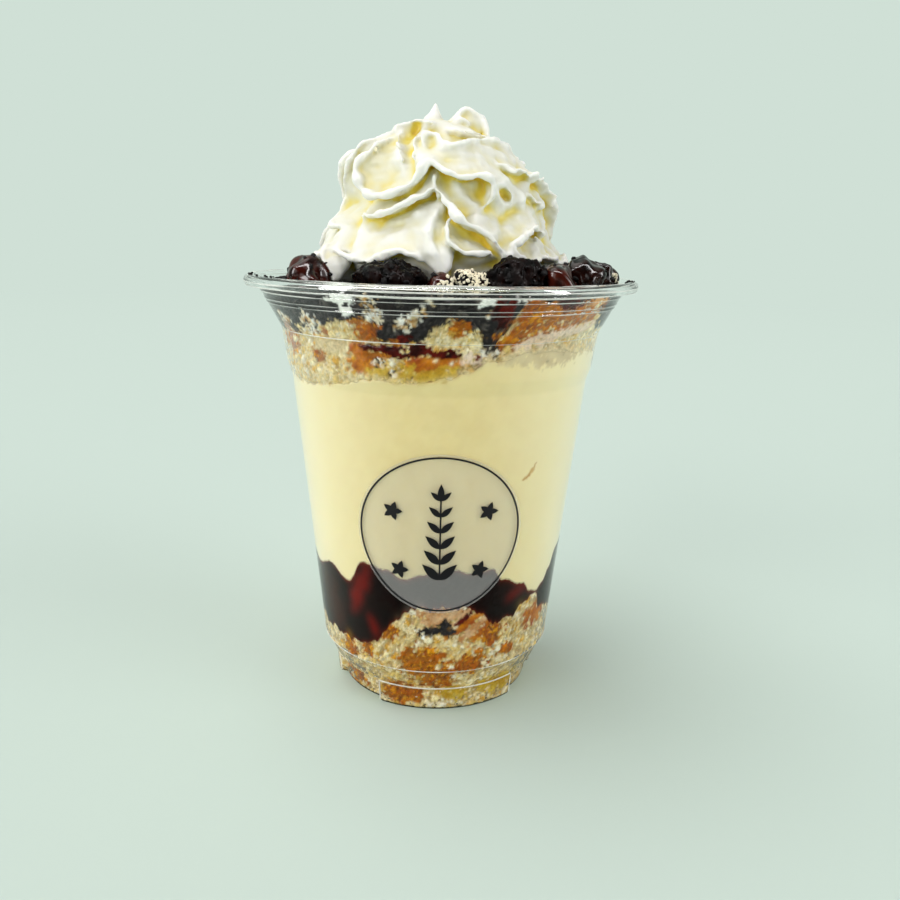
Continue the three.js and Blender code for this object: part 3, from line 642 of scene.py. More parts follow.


# What the food shows at the wall. Each kind has its colours, how far its surface lies behind the wall,
# the colour of the painted shade in its hollows, its gloss, and the crumbs that lie in it: how many per square
# millimetre, radius from and to, and how deep they may sit.
kinds = {
    "pale": {"tints": [(240, 214, 148), (251, 235, 184)], "back": 0.55, "shade": (158, 112, 34), "gloss": 0.1,
             "crumbs": [(3.6, 0.15, 0.42, 0.45), (0.3, 0.5, 1.3, 0.3)],
             "crumbTints": [(255, 243, 204), (253, 237, 190), (250, 229, 170), (255, 249, 226),
                            (240, 208, 124), (254, 240, 200), (222, 172, 72)]},
    "golden": {"tints": [(186, 98, 2), (216, 138, 6)], "back": 0.5, "shade": (96, 42, 1), "gloss": 0.2,
               "crumbs": [(0.12, 0.6, 1.3, 0.25), (2.8, 0.13, 0.36, 0.4)],
               "crumbTints": [(228, 148, 8), (210, 122, 2), (172, 86, 1), (238, 168, 22), (198, 108, 2)]},
    "crumb": {"tints": [(52, 42, 36), (88, 70, 54)], "back": 0.8, "shade": (34, 28, 26), "gloss": 0.1,
              "crumbs": [(4.6, 0.18, 0.5, 0.2), (0.4, 0.6, 1.1, 0.1)],
              "crumbTints": [(252, 244, 226), (246, 232, 204), (232, 206, 158), (255, 252, 246),
                             (196, 150, 90), (50, 42, 40)]},
    "cookie": {"tints": [(26, 23, 24), (48, 44, 44)], "back": 0.25, "shade": (8, 7, 7), "gloss": 0.45,
               "crumbs": [(0.3, 0.8, 2.1, 0.3), (1.3, 0.18, 0.42, 0.2), (0.1, 0.12, 0.24, 0.0)],
               "crumbTints": [(40, 37, 38), (30, 27, 28), (22, 19, 20), (64, 60, 58), (34, 27, 24),
                              (84, 78, 72)]},
    "sauce": {"tints": [(40, 5, 3), (96, 18, 8)], "back": 0.0, "shade": (16, 2, 2), "gloss": 0.95},
    "amber": {"tints": [(158, 68, 1), (216, 134, 4)], "back": 0.14, "shade": (98, 32, 1), "gloss": 0.6,
              "crumbs": [(0.25, 0.3, 0.8, 0.2)],
              "crumbTints": [(210, 132, 10), (232, 170, 34), (150, 72, 2)]},
    "yellow": {"tints": [(186, 142, 20), (220, 186, 62)], "back": 0.12, "shade": (130, 90, 8), "gloss": 0.4,
               "crumbs": [(0.3, 0.3, 0.8, 0.2)],
               "crumbTints": [(214, 186, 84), (188, 146, 40), (234, 214, 132)]},
    "cream": {"tints": [(242, 240, 234), (250, 249, 246)], "back": 0.0, "shade": (200, 190, 170),
              "gloss": 0.35},
    "pink": {"tints": [(230, 200, 172), (240, 218, 196)], "back": 0.04, "shade": (140, 96, 66), "gloss": 0.3,
             "crumbs": [(0.1, 0.15, 0.4, 0.0)],
             "crumbTints": [(132, 84, 58), (186, 140, 106), (234, 214, 190)]},
    "dust": {"tints": [(214, 192, 148), (232, 214, 170)], "back": 0.05, "shade": (120, 92, 54), "gloss": 0.2,
             "crumbs": [(0.14, 0.12, 0.3, 0.0), (0.5, 0.2, 0.5, 0.15)],
             "crumbTints": [(84, 62, 46), (218, 200, 160), (186, 158, 106), (238, 224, 186)]},
    "peach": {"tints": [(222, 150, 78), (234, 178, 116)], "back": 0.05, "shade": (150, 80, 26), "gloss": 0.3,
              "crumbs": [(0.4, 0.3, 0.7, 0.1)], "crumbTints": [(228, 164, 92), (206, 132, 56)]},
    "caramel": {"tints": [(190, 132, 76), (228, 190, 146)], "back": 0.12, "shade": (96, 46, 16), "gloss": 0.4,
                "crumbs": [(0.5, 0.3, 0.8, 0.25)],
                "crumbTints": [(230, 200, 160), (196, 140, 84), (160, 100, 48)]},
    "custard": {"tints": [(239, 219, 160), (241, 222, 165)], "back": 0.0, "shade": (200, 170, 110),
                "gloss": 0.35, "crumbs": [(0.005, 0.07, 0.17, 0.0)],
                "crumbTints": [(150, 120, 70), (190, 170, 110)]},
    "smear": {"tints": [(190, 138, 70), (222, 186, 122)], "back": 0.0, "shade": (150, 100, 40),
              "gloss": 0.35},
    "fudge": {"tints": [(9, 2, 2), (24, 5, 3)], "back": 0.03, "shade": (4, 1, 1), "gloss": 0.9},
    "fudgeRed": {"tints": [(104, 4, 1), (132, 18, 3)], "back": 0.0, "shade": (30, 2, 1), "gloss": 0.9},
    "fudgeGrey": {"tints": [(44, 15, 7), (60, 26, 14)], "back": 0.0, "shade": (30, 12, 6), "gloss": 0.7},
}

# Patches of food, painted one over another: kind, azimuth, height, half width, half height, tilt.
patches = [
    ("pale", -44.2, 91.3, 11.7, 5.4, 0), ("pale", -29.5, 88.3, 7.4, 2.8, 0),
    ("pale", -54.8, 85.9, 9.6, 2.9, 0), ("dust", 37.7, 91.5, 13.3, 2.5, 0),
    ("pink", 37.5, 96.5, 10.8, 1.9, 12),
    ("cookie", -43.1, 101.5, 13, 2.8, 0), ("cookie", -64.5, 97.5, 10.3, 2.6, 0),
    ("crumb", -60.7, 97.6, 3.7, 1.6, 0), ("cookie", -39.4, 98.1, 2.7, 0.9, 0),
    ("crumb", -44.4, 97.2, 3.9, 2.3, 0), ("cookie", -12.2, 102.2, 4.7, 2.9, 0),
    ("golden", -23.1, 97.1, 4.5, 3.2, 0), ("pale", -31.7, 96.4, 3.7, 2.1, 0),
    ("cookie", -26.6, 100.1, 3.1, 0.7, 20), ("cream", -27.9, 103.4, 3.9, 1.5, 0),
    ("cream", -27.6, 101.1, 1.8, 1.2, 0), ("crumb", -20.8, 102.4, 2.6, 2.6, 0),
    ("crumb", -19.3, 100.3, 3, 1.9, 0), ("cookie", -17.3, 96, 2, 1.3, 0),
    ("cookie", -1.9, 102.2, 3.6, 2.6, 0), ("cookie", -2.3, 98.7, 3.7, 2.3, 0),
    ("crumb", -3.6, 103, 2, 1.3, 40), ("crumb", -8.2, 99.6, 4.2, 1.9, 35),
    ("amber", -26.4, 92.4, 3.3, 2, 0), ("sauce", -14.3, 92.3, 4, 1.8, 0), ("sauce", -4, 93.2, 5.5, 1.5, 0),
    ("amber", -4, 89.7, 5.1, 2.4, 10), ("yellow", -2.3, 87.6, 5, 1.5, 12),
    ("yellow", -12.3, 87.9, 3.7, 2.1, 0), ("golden", -61.7, 93.1, 3.8, 3.6, 0),
    ("golden", -45.1, 90.4, 3.2, 1.6, 0), ("dust", -37.8, 92.9, 4.8, 1.9, 0),
    ("golden", -38.5, 96.2, 1.9, 1.1, 0), ("golden", -13.8, 94.7, 1.6, 0.9, 0),
    ("sauce", -10.9, 95.5, 1.8, 1.2, 0), ("cookie", 4.5, 102.7, 8, 1.8, 0),
    ("cookie", 13.1, 98.4, 4.1, 3.6, 0), ("crumb", 13.8, 101.5, 1.2, 1.2, 0),
    ("amber", 0.8, 90, 3.9, 2.4, 10), ("yellow", 0.5, 87.9, 3.6, 1.5, 14), ("sauce", -0.1, 92.7, 5.1, 1.3, 0),
    ("pale", -0.7, 95.1, 2.7, 1.9, 0), ("pale", 1.4, 96.2, 3.7, 2.7, 0), ("golden", 6.1, 97.8, 2.4, 1.8, 0),
    ("pale", 10.6, 95.8, 2.2, 1.9, 0), ("crumb", 16.1, 92.7, 2.7, 1.2, 0), ("pale", -19.3, 90.8, 2, 1.7, 0),
    ("sauce", 11.7, 91, 0.9, 1.8, 0), ("pink", 9.5, 91, 1.8, 1.8, 0),
    ("cream", 13.2, 104.1, 2.7, 1.5, 0), ("cream", 26, 104, 3.8, 0.9, 0),
    ("golden", 28.8, 102.5, 4.6, 2.2, 0), ("golden", 27.4, 99.2, 7.6, 3.5, 30),
    ("golden", 38, 100.3, 9, 3.4, 10), ("golden", 50, 101.3, 8.6, 3.2, 10),
    ("golden", 22.3, 94.9, 3.2, 2.2, 0), ("pink", 34, 95, 7.5, 1.2, 11),
    ("pink", 50, 97.1, 8, 1.1, 10), ("sauce", 17.2, 102, 2.3, 3.6, 0), ("sauce", 39, 104, 3.8, 2.5, 0),
    ("peach", 53, 103.6, 3.6, 1.2, 0), ("cookie", 69, 101, 8, 4.2, 0),
    ("amber", -24, 89.6, 5, 2.4, 0), ("yellow", -17, 87.8, 4.6, 1.2, 0), ("golden", -20, 91, 3, 1.4, 0),
    ("sauce", -21, 93, 4.2, 0.8, -6), ("crumb", -19.5, 89.9, 1.5, 1.2, 0), ("crumb", -15, 87.6, 1.3, 1, 0),
    # base
    ("golden", -7.7, 14.9, 4.7, 4.5, 0), ("golden", 15.7, 14.1, 5.6, 2.8, 0),
    ("golden", 1.6, 9.7, 4.4, 4.1, 0), ("golden", -18.4, 4.1, 5.1, 3, 0),
    ("golden", 0.5, 16.8, 2.5, 1.4, 0), ("caramel", 4.7, 27.8, 7.3, 3.6, 0),
    ("crumb", -4.5, 23.4, 2.4, 1.5, 0), ("crumb", 7, 23.2, 1.4, 1.3, 0),
    ("amber", 16.5, 26.8, 7.5, 1.3, 38), ("caramel", 19, 24.6, 6, 1.2, 38), ("amber", 24, 24.4, 6.5, 1.2, 44),
    ("sauce", 13, 27.4, 4, 0.6, 38), ("cookie", 1.5, 24, 4.2, 1.2, 0), ("cookie", 4.6, 25.6, 2.2, 1.2, 20),
    ("golden", -21.5, 22.5, 2.6, 2.1, 0), ("golden", -44.9, 14.9, 2.5, 3.5, 0),
    ("golden", -33.9, 16.1, 2, 2.8, 0), ("golden", -57.9, 3.3, 5.2, 3, 0), ("golden", 27.7, 21.7, 3.2, 3, 0),
    ("amber", 52.8, 23, 4.6, 3.5, 0), ("yellow", 37.1, 5.5, 7.1, 3.1, 0), ("yellow", 10.4, 4.7, 3.7, 2.2, 0),
    ("golden", 36.2, 16.3, 1.9, 1.7, 0),
    # fudge and custard
    ("fudgeGrey", -56, 26, 4.6, 9, 8), ("fudgeRed", -35.5, 32.5, 1.7, 7.6, -22),
    ("fudgeRed", -29, 23.5, 1.1, 3, 20), ("fudgeRed", 40, 32.5, 3.6, 0.8, 24),
    ("smear", 38.6, 64.2, 1.9, 0.45, 52), ("smear", 35.8, 62.4, 0.9, 0.35, 30),
]
hiddenPatches = {  # spread at random over the side that the camera doesn't see
    "seed": 11, "turn": (76, 284), "half": (2, 6.5), "tall": (1.2, 3.4), "tilt": (-30, 30),
    # how many, height from and to, and the kinds to pick from
    "bands": [
        (46, 86, 104, ["golden", "golden", "pale", "cookie", "cookie", "crumb", "sauce", "amber", "cream",
                       "dust"]),
        (30, 2, 25, ["golden", "golden", "pale", "yellow", "crumb", "cookie"]),
        (14, 22, 38, ["fudgeRed", "fudgeRed", "fudgeGrey"])],
}
# the wall as a grid, and how ragged the patches' edges are: depth, size and seed of the waves
wallGrid = {"columns": 900, "step": 0.28, "top": 106.4, "ragged": [(0.36, 2.6, 5), (0.3, 1.0, 6)]}
kindNames = list(kinds)


def paintKinds():
    # which kind of food shows at each place of the wall
    turn = np.arange(wallGrid["columns"]) * 360 / wallGrid["columns"] - 180
    azimuth, z = np.meshgrid(turn, np.arange(0, wallGrid["top"], wallGrid["step"]))
    radius = outerRadius(z)
    points = around(azimuth, radius, z)
    ragged = sum(deep * waves(points, size, seed) for deep, size, seed in wallGrid["ragged"])
    shown = np.full(z.shape, kindNames.index("pale"))
    for edge, kind in zip(edges, ("fudge", "custard", "pale", "cookie")):
        shown[z > edgeHeight(edge, turn)] = kindNames.index(kind)
    random = np.random.default_rng(hiddenPatches["seed"])
    everyPatch = list(patches)
    for count, low, high, choices in hiddenPatches["bands"]:
        for _ in range(count):
            kind = str(random.choice(choices))
            middle = random.uniform(*hiddenPatches["turn"])
            up = random.uniform(low, high)
            everyPatch.append((kind, middle, up, *(random.uniform(*hiddenPatches[key])
                                                   for key in ("half", "tall", "tilt"))))
    inFudge = showing(shown, "fudge")
    inCustard = showing(shown, "custard")
    for kind, middle, up, half, tall, tilt in everyPatch:
        across = np.radians((azimuth - middle + 180) % 360 - 180) * radius
        run, rise = turnedBy(math.radians(tilt), across, z - up)
        inside = (run / half) ** 2 + (rise / tall) ** 2 + ragged < 1
        if kind.startswith("fudge"):
            inside &= inFudge
        elif kind == "smear":
            inside &= inCustard
        else:
            inside &= ~inFudge
        shown[inside] = kindNames.index(kind)
    return azimuth, z, radius, points, shown


def showing(shown, *names):
    # where any of these kinds shows
    return np.isin(shown, [kindNames.index(name) for name in names])


def turnedBy(lean, across, over):
    return (across * math.cos(lean) + over * math.sin(lean),
            over * math.cos(lean) - across * math.sin(lean))


def blurred(field, rounds):
    # every place drawn towards the places beside, above and below it
    for _ in range(rounds):
        field = (np.roll(field, 1, axis=1) + np.roll(field, -1, axis=1) + 2 * field) / 4
        field[1:-1] = (field[:-2] + field[2:] + 2 * field[1:-1]) / 4
    return field


press = {
    # size and seed of the lumps of the ground, and how far two of them mix a kind's two tints
    "broad": (5, 31), "middle": (1.6, 32), "fine": (0.7, 33), "mix": (0.28, 0.2),
    # crumbs: seed, how many stay small, how deep they lie, how far they may spread past their radius,
    # how uneven they are, how far they are sunk in, their roundness, and how their shade varies
    "seed": 7, "small": 1.6, "deep": 1.6, "reach": 1.35, "uneven": 0.3, "sunk": 0.8,
    "long": (0.6, 1), "flat": (1, 1.5), "shades": (0.92, 1.06),
    # painted shade, in the base below this height and above it: depth of the darkest hollows, clumps and
    # cracks
    "baseTop": 35, "hollow": (0.95, 1.2), "clumpShade": (0.34, 0.26), "crackShade": (0.75, 0.45), "shade": 0.85,
    "clumps": [(0.5, 4.5, 34), (0.2, 1.3, 35)], "cracks": [(2.3, 36, 0.11), (3.4, 37, 0.09)],
    # how soft the cake is near the custard, and how far up; how soft moist cake is elsewhere
    "softNear": (8, 0.7, 1.7), "softMoist": (3, 0.5),
    # fudge: the colour beside it, how slowly it changes, and its thin rim towards the custard
    "beside": (14, 4, 3), "slow": 30, "rimTint": (126, 40, 14), "rimWidth": 0.55, "rimShare": 0.75,
    # custard towards its sides, painted paler as if lit there: tint, and the degrees from which and over which
    # it comes in
    "custardSides": [((255, 238, 192), 12, 44), ((255, 241, 208), 46, 34)],
}


def layCrumbs(height, tint, radius, shown, fine):
    # crumbs pressed flat against the wall at random, the outer ones over the inner ones
    random = np.random.default_rng(press["seed"])
    columns = wallGrid["columns"]
    cell = wallGrid["step"]
    scale = 1
    for index, kind in enumerate(kinds.values()):
        rows, places = np.nonzero(shown == index)
        if "crumbs" not in kind or not len(rows):
            continue
        tints = linear(kind["crumbTints"])
        cells = np.radians(360 / columns) * radius[rows, places] * cell
        for many, small, large, deep in kind["crumbs"]:
            count = int(many * cells.sum() * scale)
            for pick in random.choice(len(rows), count, p=cells / cells.sum()):
                size = small + (large - small) * random.random() ** press["small"]
                back = deep * random.random() * press["deep"]
                row, place = rows[pick], places[pick]
                arc = np.radians(360 / columns) * radius[row, place]
                tall = int(size * press["reach"] / cell) + 1
                wide = int(size * press["reach"] / arc) + 1
                span = np.arange(max(0, row - tall), min(len(height), row + tall + 1))
                reach = np.arange(place - wide, place + wide + 1)
                run, rise = turnedBy(random.uniform(0, math.pi), (reach - place)[None, :] * arc / size,
                                     (span - row)[:, None] * cell / size)
                block = np.ix_(span, reach % columns)
                far = run ** 2 * random.uniform(*press["long"]) + rise ** 2 * random.uniform(*press["flat"])
                far += press["uneven"] * fine[block]
                top = np.minimum(0, size * (np.sqrt(np.clip(1 - far, 0, 1)) - press["sunk"]) - back)
                outer = (far < 1) & (top > height[block])
                shade = tints[random.integers(len(tints))] * random.uniform(*press["shades"])
                for field, value in ((height, top[outer]), (tint, shade)):
                    spot = field[block]
                    spot[outer] = value
                    field[block] = spot


def shadeHollows(height, tint, points, z, shown):
    # painted shade: hollows between the crumbs are darkened, and whole clumps and fine cracks are darkened as
    # if in the shade of others
    low = z < press["baseTop"]
    clumpShade = np.clip(0.4 + sum(deep * waves(points, size, seed) for deep, size, seed in press["clumps"]), 0, 1)
    hollow = np.clip(-height / np.where(low, *press["hollow"]) + 0.1 * clumpShade, 0, 1)
    crackShade = sum(np.exp(-(waves(points, size, seed) / width) ** 2) for size, seed, width in press["cracks"])
    crackShade = np.where(low, *press["crackShade"]) * np.clip(crackShade, 0, 1)
    clumpShade = np.maximum(np.where(low, *press["clumpShade"]) * clumpShade, crackShade)
    crumbly = showing(shown, "pale", "golden", "crumb", "cookie")
    shaded = np.where(crumbly, np.maximum(hollow, clumpShade), hollow)
    shades = np.array([linear(kind["shade"]) for kind in kinds.values()])[shown]
    tint += (shades - tint) * (press["shade"] * shaded)[..., None]


def softenCake(tint, turn, z, shown):
    # cake is moist and soft where it meets the custard, and where sauce has run into it
    rounds, share, width = press["softNear"]
    near = np.exp(-((z - edgeHeight("custardTop", turn)) / width) ** 2)[..., None]
    tint += (blurred(tint, rounds) - tint) * share * near
    rounds, share = press["softMoist"]
    moist = showing(shown, "dust", "pink", "amber", "yellow")
    tint += (blurred(tint, rounds) - tint) * share * moist[..., None]


def tintFudge(tint, turn, z, shown):
    # dark where it is thick and red where light comes through, with a thin red-brown rim
    inFudge = showing(shown, "fudge", "fudgeRed", "fudgeGrey")
    slow = blurred(np.where(inFudge[..., None], tint, linear(press["beside"])), press["slow"])
    tint[inFudge] = slow[inFudge]
    top = edgeHeight("fudgeTop", turn)
    bottom = edgeHeight("fudgeBottom", turn)
    thin = np.exp(-np.clip(np.minimum(top - z, (z - bottom) * 1.4), 0, 9) / press["rimWidth"])
    inside = (z < top) & (z > bottom) & ~showing(shown, "fudgeGrey")
    rim = (press["rimShare"] * thin[inside])[:, None]
    tint[inside] += (linear(press["rimTint"]) - tint[inside]) * rim


def tintCustard(tint, azimuth, shown):
    # painted light: pale at the sides, and so a little browner in the middle of the front and the back
    custard = showing(shown, "custard")
    aside = 90 - np.abs(90 - np.abs((azimuth + 180) % 360 - 180))
    for colour, start, width in press["custardSides"]:
        pale = np.clip((aside - start) / width, 0, 1)[custard][:, None]
        tint[custard] += (linear(colour) - tint[custard]) * pale


def pressFood():
    # surface of the food behind the wall, with its colour and gloss: a heap of crumbs pressed flat
    azimuth, z, radius, points, shown = paintKinds()
    turn = azimuth[0]
    height = np.zeros(z.shape)
    tint = np.zeros((*z.shape, 3))
    gloss = np.zeros(z.shape)
    broad, middle, fine = (waves(points, *press[key]) for key in ("broad", "middle", "fine"))
    mix = np.clip(0.5 + press["mix"][0] * broad + press["mix"][1] * middle, 0, 1)
    for index, kind in enumerate(kinds.values()):
        here = shown == index
        low, high = (linear(colour) for colour in kind["tints"])
        tint[here] = low + (high - low) * mix[here][:, None]
        height[here] = -kind["back"] - kind["back"] * 0.5 * np.clip(middle[here], -1, 1)
        gloss[here] = kind["gloss"]
    layCrumbs(height, tint, radius, shown, fine)
    shadeHollows(height, tint, points, z, shown)
    softenCake(tint, turn, z, shown)
    tintFudge(tint, turn, z, shown)
    tintCustard(tint, azimuth, shown)
    return {"height": height, "tint": tint, "gloss": gloss}


def sampled(field, azimuth, z):
    # straight-line values of a wall field at any places
    columns = wallGrid["columns"]
    across = ((azimuth + 180) / 360 * columns) % columns
    up = np.clip(z / wallGrid["step"], 0, field.shape[0] - 1.001)
    left = np.floor(across).astype(int)
    low = np.floor(up).astype(int)
    shareX = across - left
    shareZ = up - low
    right = (left + 1) % columns
    left %= columns
    if field.ndim == 3:
        shareX = shareX[..., None]
        shareZ = shareZ[..., None]
    lower = field[low, left] * (1 - shareX) + field[low, right] * shareX
    upper = field[low + 1, left] * (1 - shareX) + field[low + 1, right] * shareX
    return lower * (1 - shareZ) + upper * shareZ


wallFood = pressFood()
print("food pressed against the wall")

layers = {
    # piece: node and slot, lower and upper edge, rows and columns at the wall, level of the middle below
    # and above, and where its look differs from foodLook
    "cake_crumbs_base": {
        "node": "cake_base", "slot": "cake", "bottom": None, "top": "fudgeBottom", "rows": 84, "columns": 660,
        "low": 3.1, "high": 25, "look": {"soft": 0.1, "softScale": 0.6}},
    "fudge": {
        "node": "fudge_layer", "slot": "fudge", "bottom": "fudgeBottom", "top": "fudgeTop", "rows": 64,
        "columns": 600, "low": 25, "high": 38,
        "look": {"grain": 260.0, "contrast": 0.7, "dull": 0.6, "shiny": 0.12, "softRadius": (1.0, 0.3, 0.1),
                 "specular": 0.03, "bump": 0.12, "bumpDepth": 0.4}},
    "custard_cream": {
        "node": "custard", "slot": "custard", "bottom": "fudgeTop", "top": "custardTop", "rows": 130,
        "columns": 540, "low": 38, "high": 87.5,
        "look": {"grain": 120.0, "contrast": 0.05, "dull": 0.6, "shiny": 0.35, "soft": 0.3,
                 "softRadius": (1.0, 0.8, 0.5), "softScale": 1.5, "bump": 0.04, "bumpDepth": 0.3}},
    "cake_crumbs_upper": {
        "node": "cake_upper", "slot": "cake", "bottom": "custardTop", "top": "cakeTop", "rows": 42,
        "columns": 860, "low": 87.5, "high": 97,
        "look": {"shiny": 0.14, "soft": 0.1, "softScale": 0.6, "specular": 0.15}},
    "cookie_crumbs_layer": {
        "node": "cookie_layer", "slot": "cookie", "bottom": "cakeTop", "top": None, "rows": 36,
        "columns": 860, "low": 97, "high": 105.2,
        "look": {"grain": 1300.0, "dull": 0.85, "shiny": 0.16, "specular": 0.2, "bump": 0.6}},
}
layerForm = {
    "intoWall": 0.3, "clear": 0.4, "rimLevel": 104.6, "inner": (0.25, 0.5, 0.75, 0.93), "curve": 3,
    # open top: rings from the wall inwards, relief and mix as depth, size and seed, tints, width of its edge
    "topRings": (0.985, 0.4, 44), "topRelief": [(0.35, 3.2, 41), (0.3, 1.3, 42)],
    "topMix": [(0.45, 1.5, 43), (0.3, 0.8, 44)], "topTints": [(8, 6, 6), (40, 33, 31)], "topEdge": 1.9,
}


def innerRings(turn, level, edge, shares, relief=()):
    # rings of a layer's lower or upper face, each with the height at the wall that gives it its colour
    rings = []
    for share in shares:
        z = level + (edge - level) * share ** layerForm["curve"]
        ring = around(turn, share * (outerRadius(edge) - cup["wall"] - layerForm["clear"]), z)
        ring[:, 2] += sum(deep * waves(ring, size, seed) for deep, size, seed in relief)
        rings.append((ring, z * 0 + edge))
    return rings


def makeLayer(name):
    layer = layers[name]
    rim = layerForm["rimLevel"]
    isOpen = layer["top"] is None
    turn = np.arange(layer["columns"]) * 360 / layer["columns"]
    floor = cup["wall"] - layerForm["intoWall"]
    bottom = edgeHeight(layer["bottom"], turn) if layer["bottom"] else np.full(turn.shape, floor)
    top = np.full(turn.shape, rim) if isOpen else edgeHeight(layer["top"], turn)
    rings = innerRings(turn, layer["low"], bottom, layerForm["inner"])
    for share in np.linspace(0, 1, layer["rows"]):
        z = bottom + (top - bottom) * share
        radius = outerRadius(z) - cup["wall"] + layerForm["intoWall"] + sampled(wallFood["height"], turn, z)
        radius -= cup["recessDepth"] * recessShare(turn) * (z < cup["recessTop"])
        rings.append((around(turn, radius, z), z))
    shares = np.linspace(*layerForm["topRings"]) if isOpen else layerForm["inner"][::-1]
    rings += innerRings(turn, layer["high"], top, shares, layerForm["topRelief"] if isOpen else ())
    points = np.concatenate([ring for ring, _ in rings])
    heights = np.concatenate([z for _, z in rings])
    turns = np.tile(turn, len(rings))
    poles = np.array([(0, 0, layer["low"]), (0, 0, layer["high"])])
    tint = sampled(wallFood["tint"], turns, heights)
    gloss = sampled(wallFood["gloss"], turns, heights)
    if isOpen:
        # the open top shows its own crumbs, not the ones at the wall
        inside = np.hypot(points[:, 0], points[:, 1]) < outerRadius(rim) - layerForm["topEdge"]
        inside &= heights >= rim
        low, high = (linear(colour) for colour in layerForm["topTints"])
        mix = 0.4 + sum(deep * waves(points, size, seed) for deep, size, seed in layerForm["topMix"])
        tint[inside] = (low + (high - low) * np.clip(mix, 0, 1)[:, None])[inside]
    tint = np.concatenate([tint, tint[:1], tint[-1:]])
    gloss = np.concatenate([gloss, gloss[:1], gloss[-1:]])
    piece = makePiece(name, np.concatenate([points, poles]), ringFaces(len(rings), layer["columns"]),
                      foodMaterial(name, layer["look"]), values={"gloss": gloss}, colours={"tint": tint})
    return finished(piece, [layer["node"]])


for layerName in layers:
    makeLayer(layerName)
print("layers filled in")

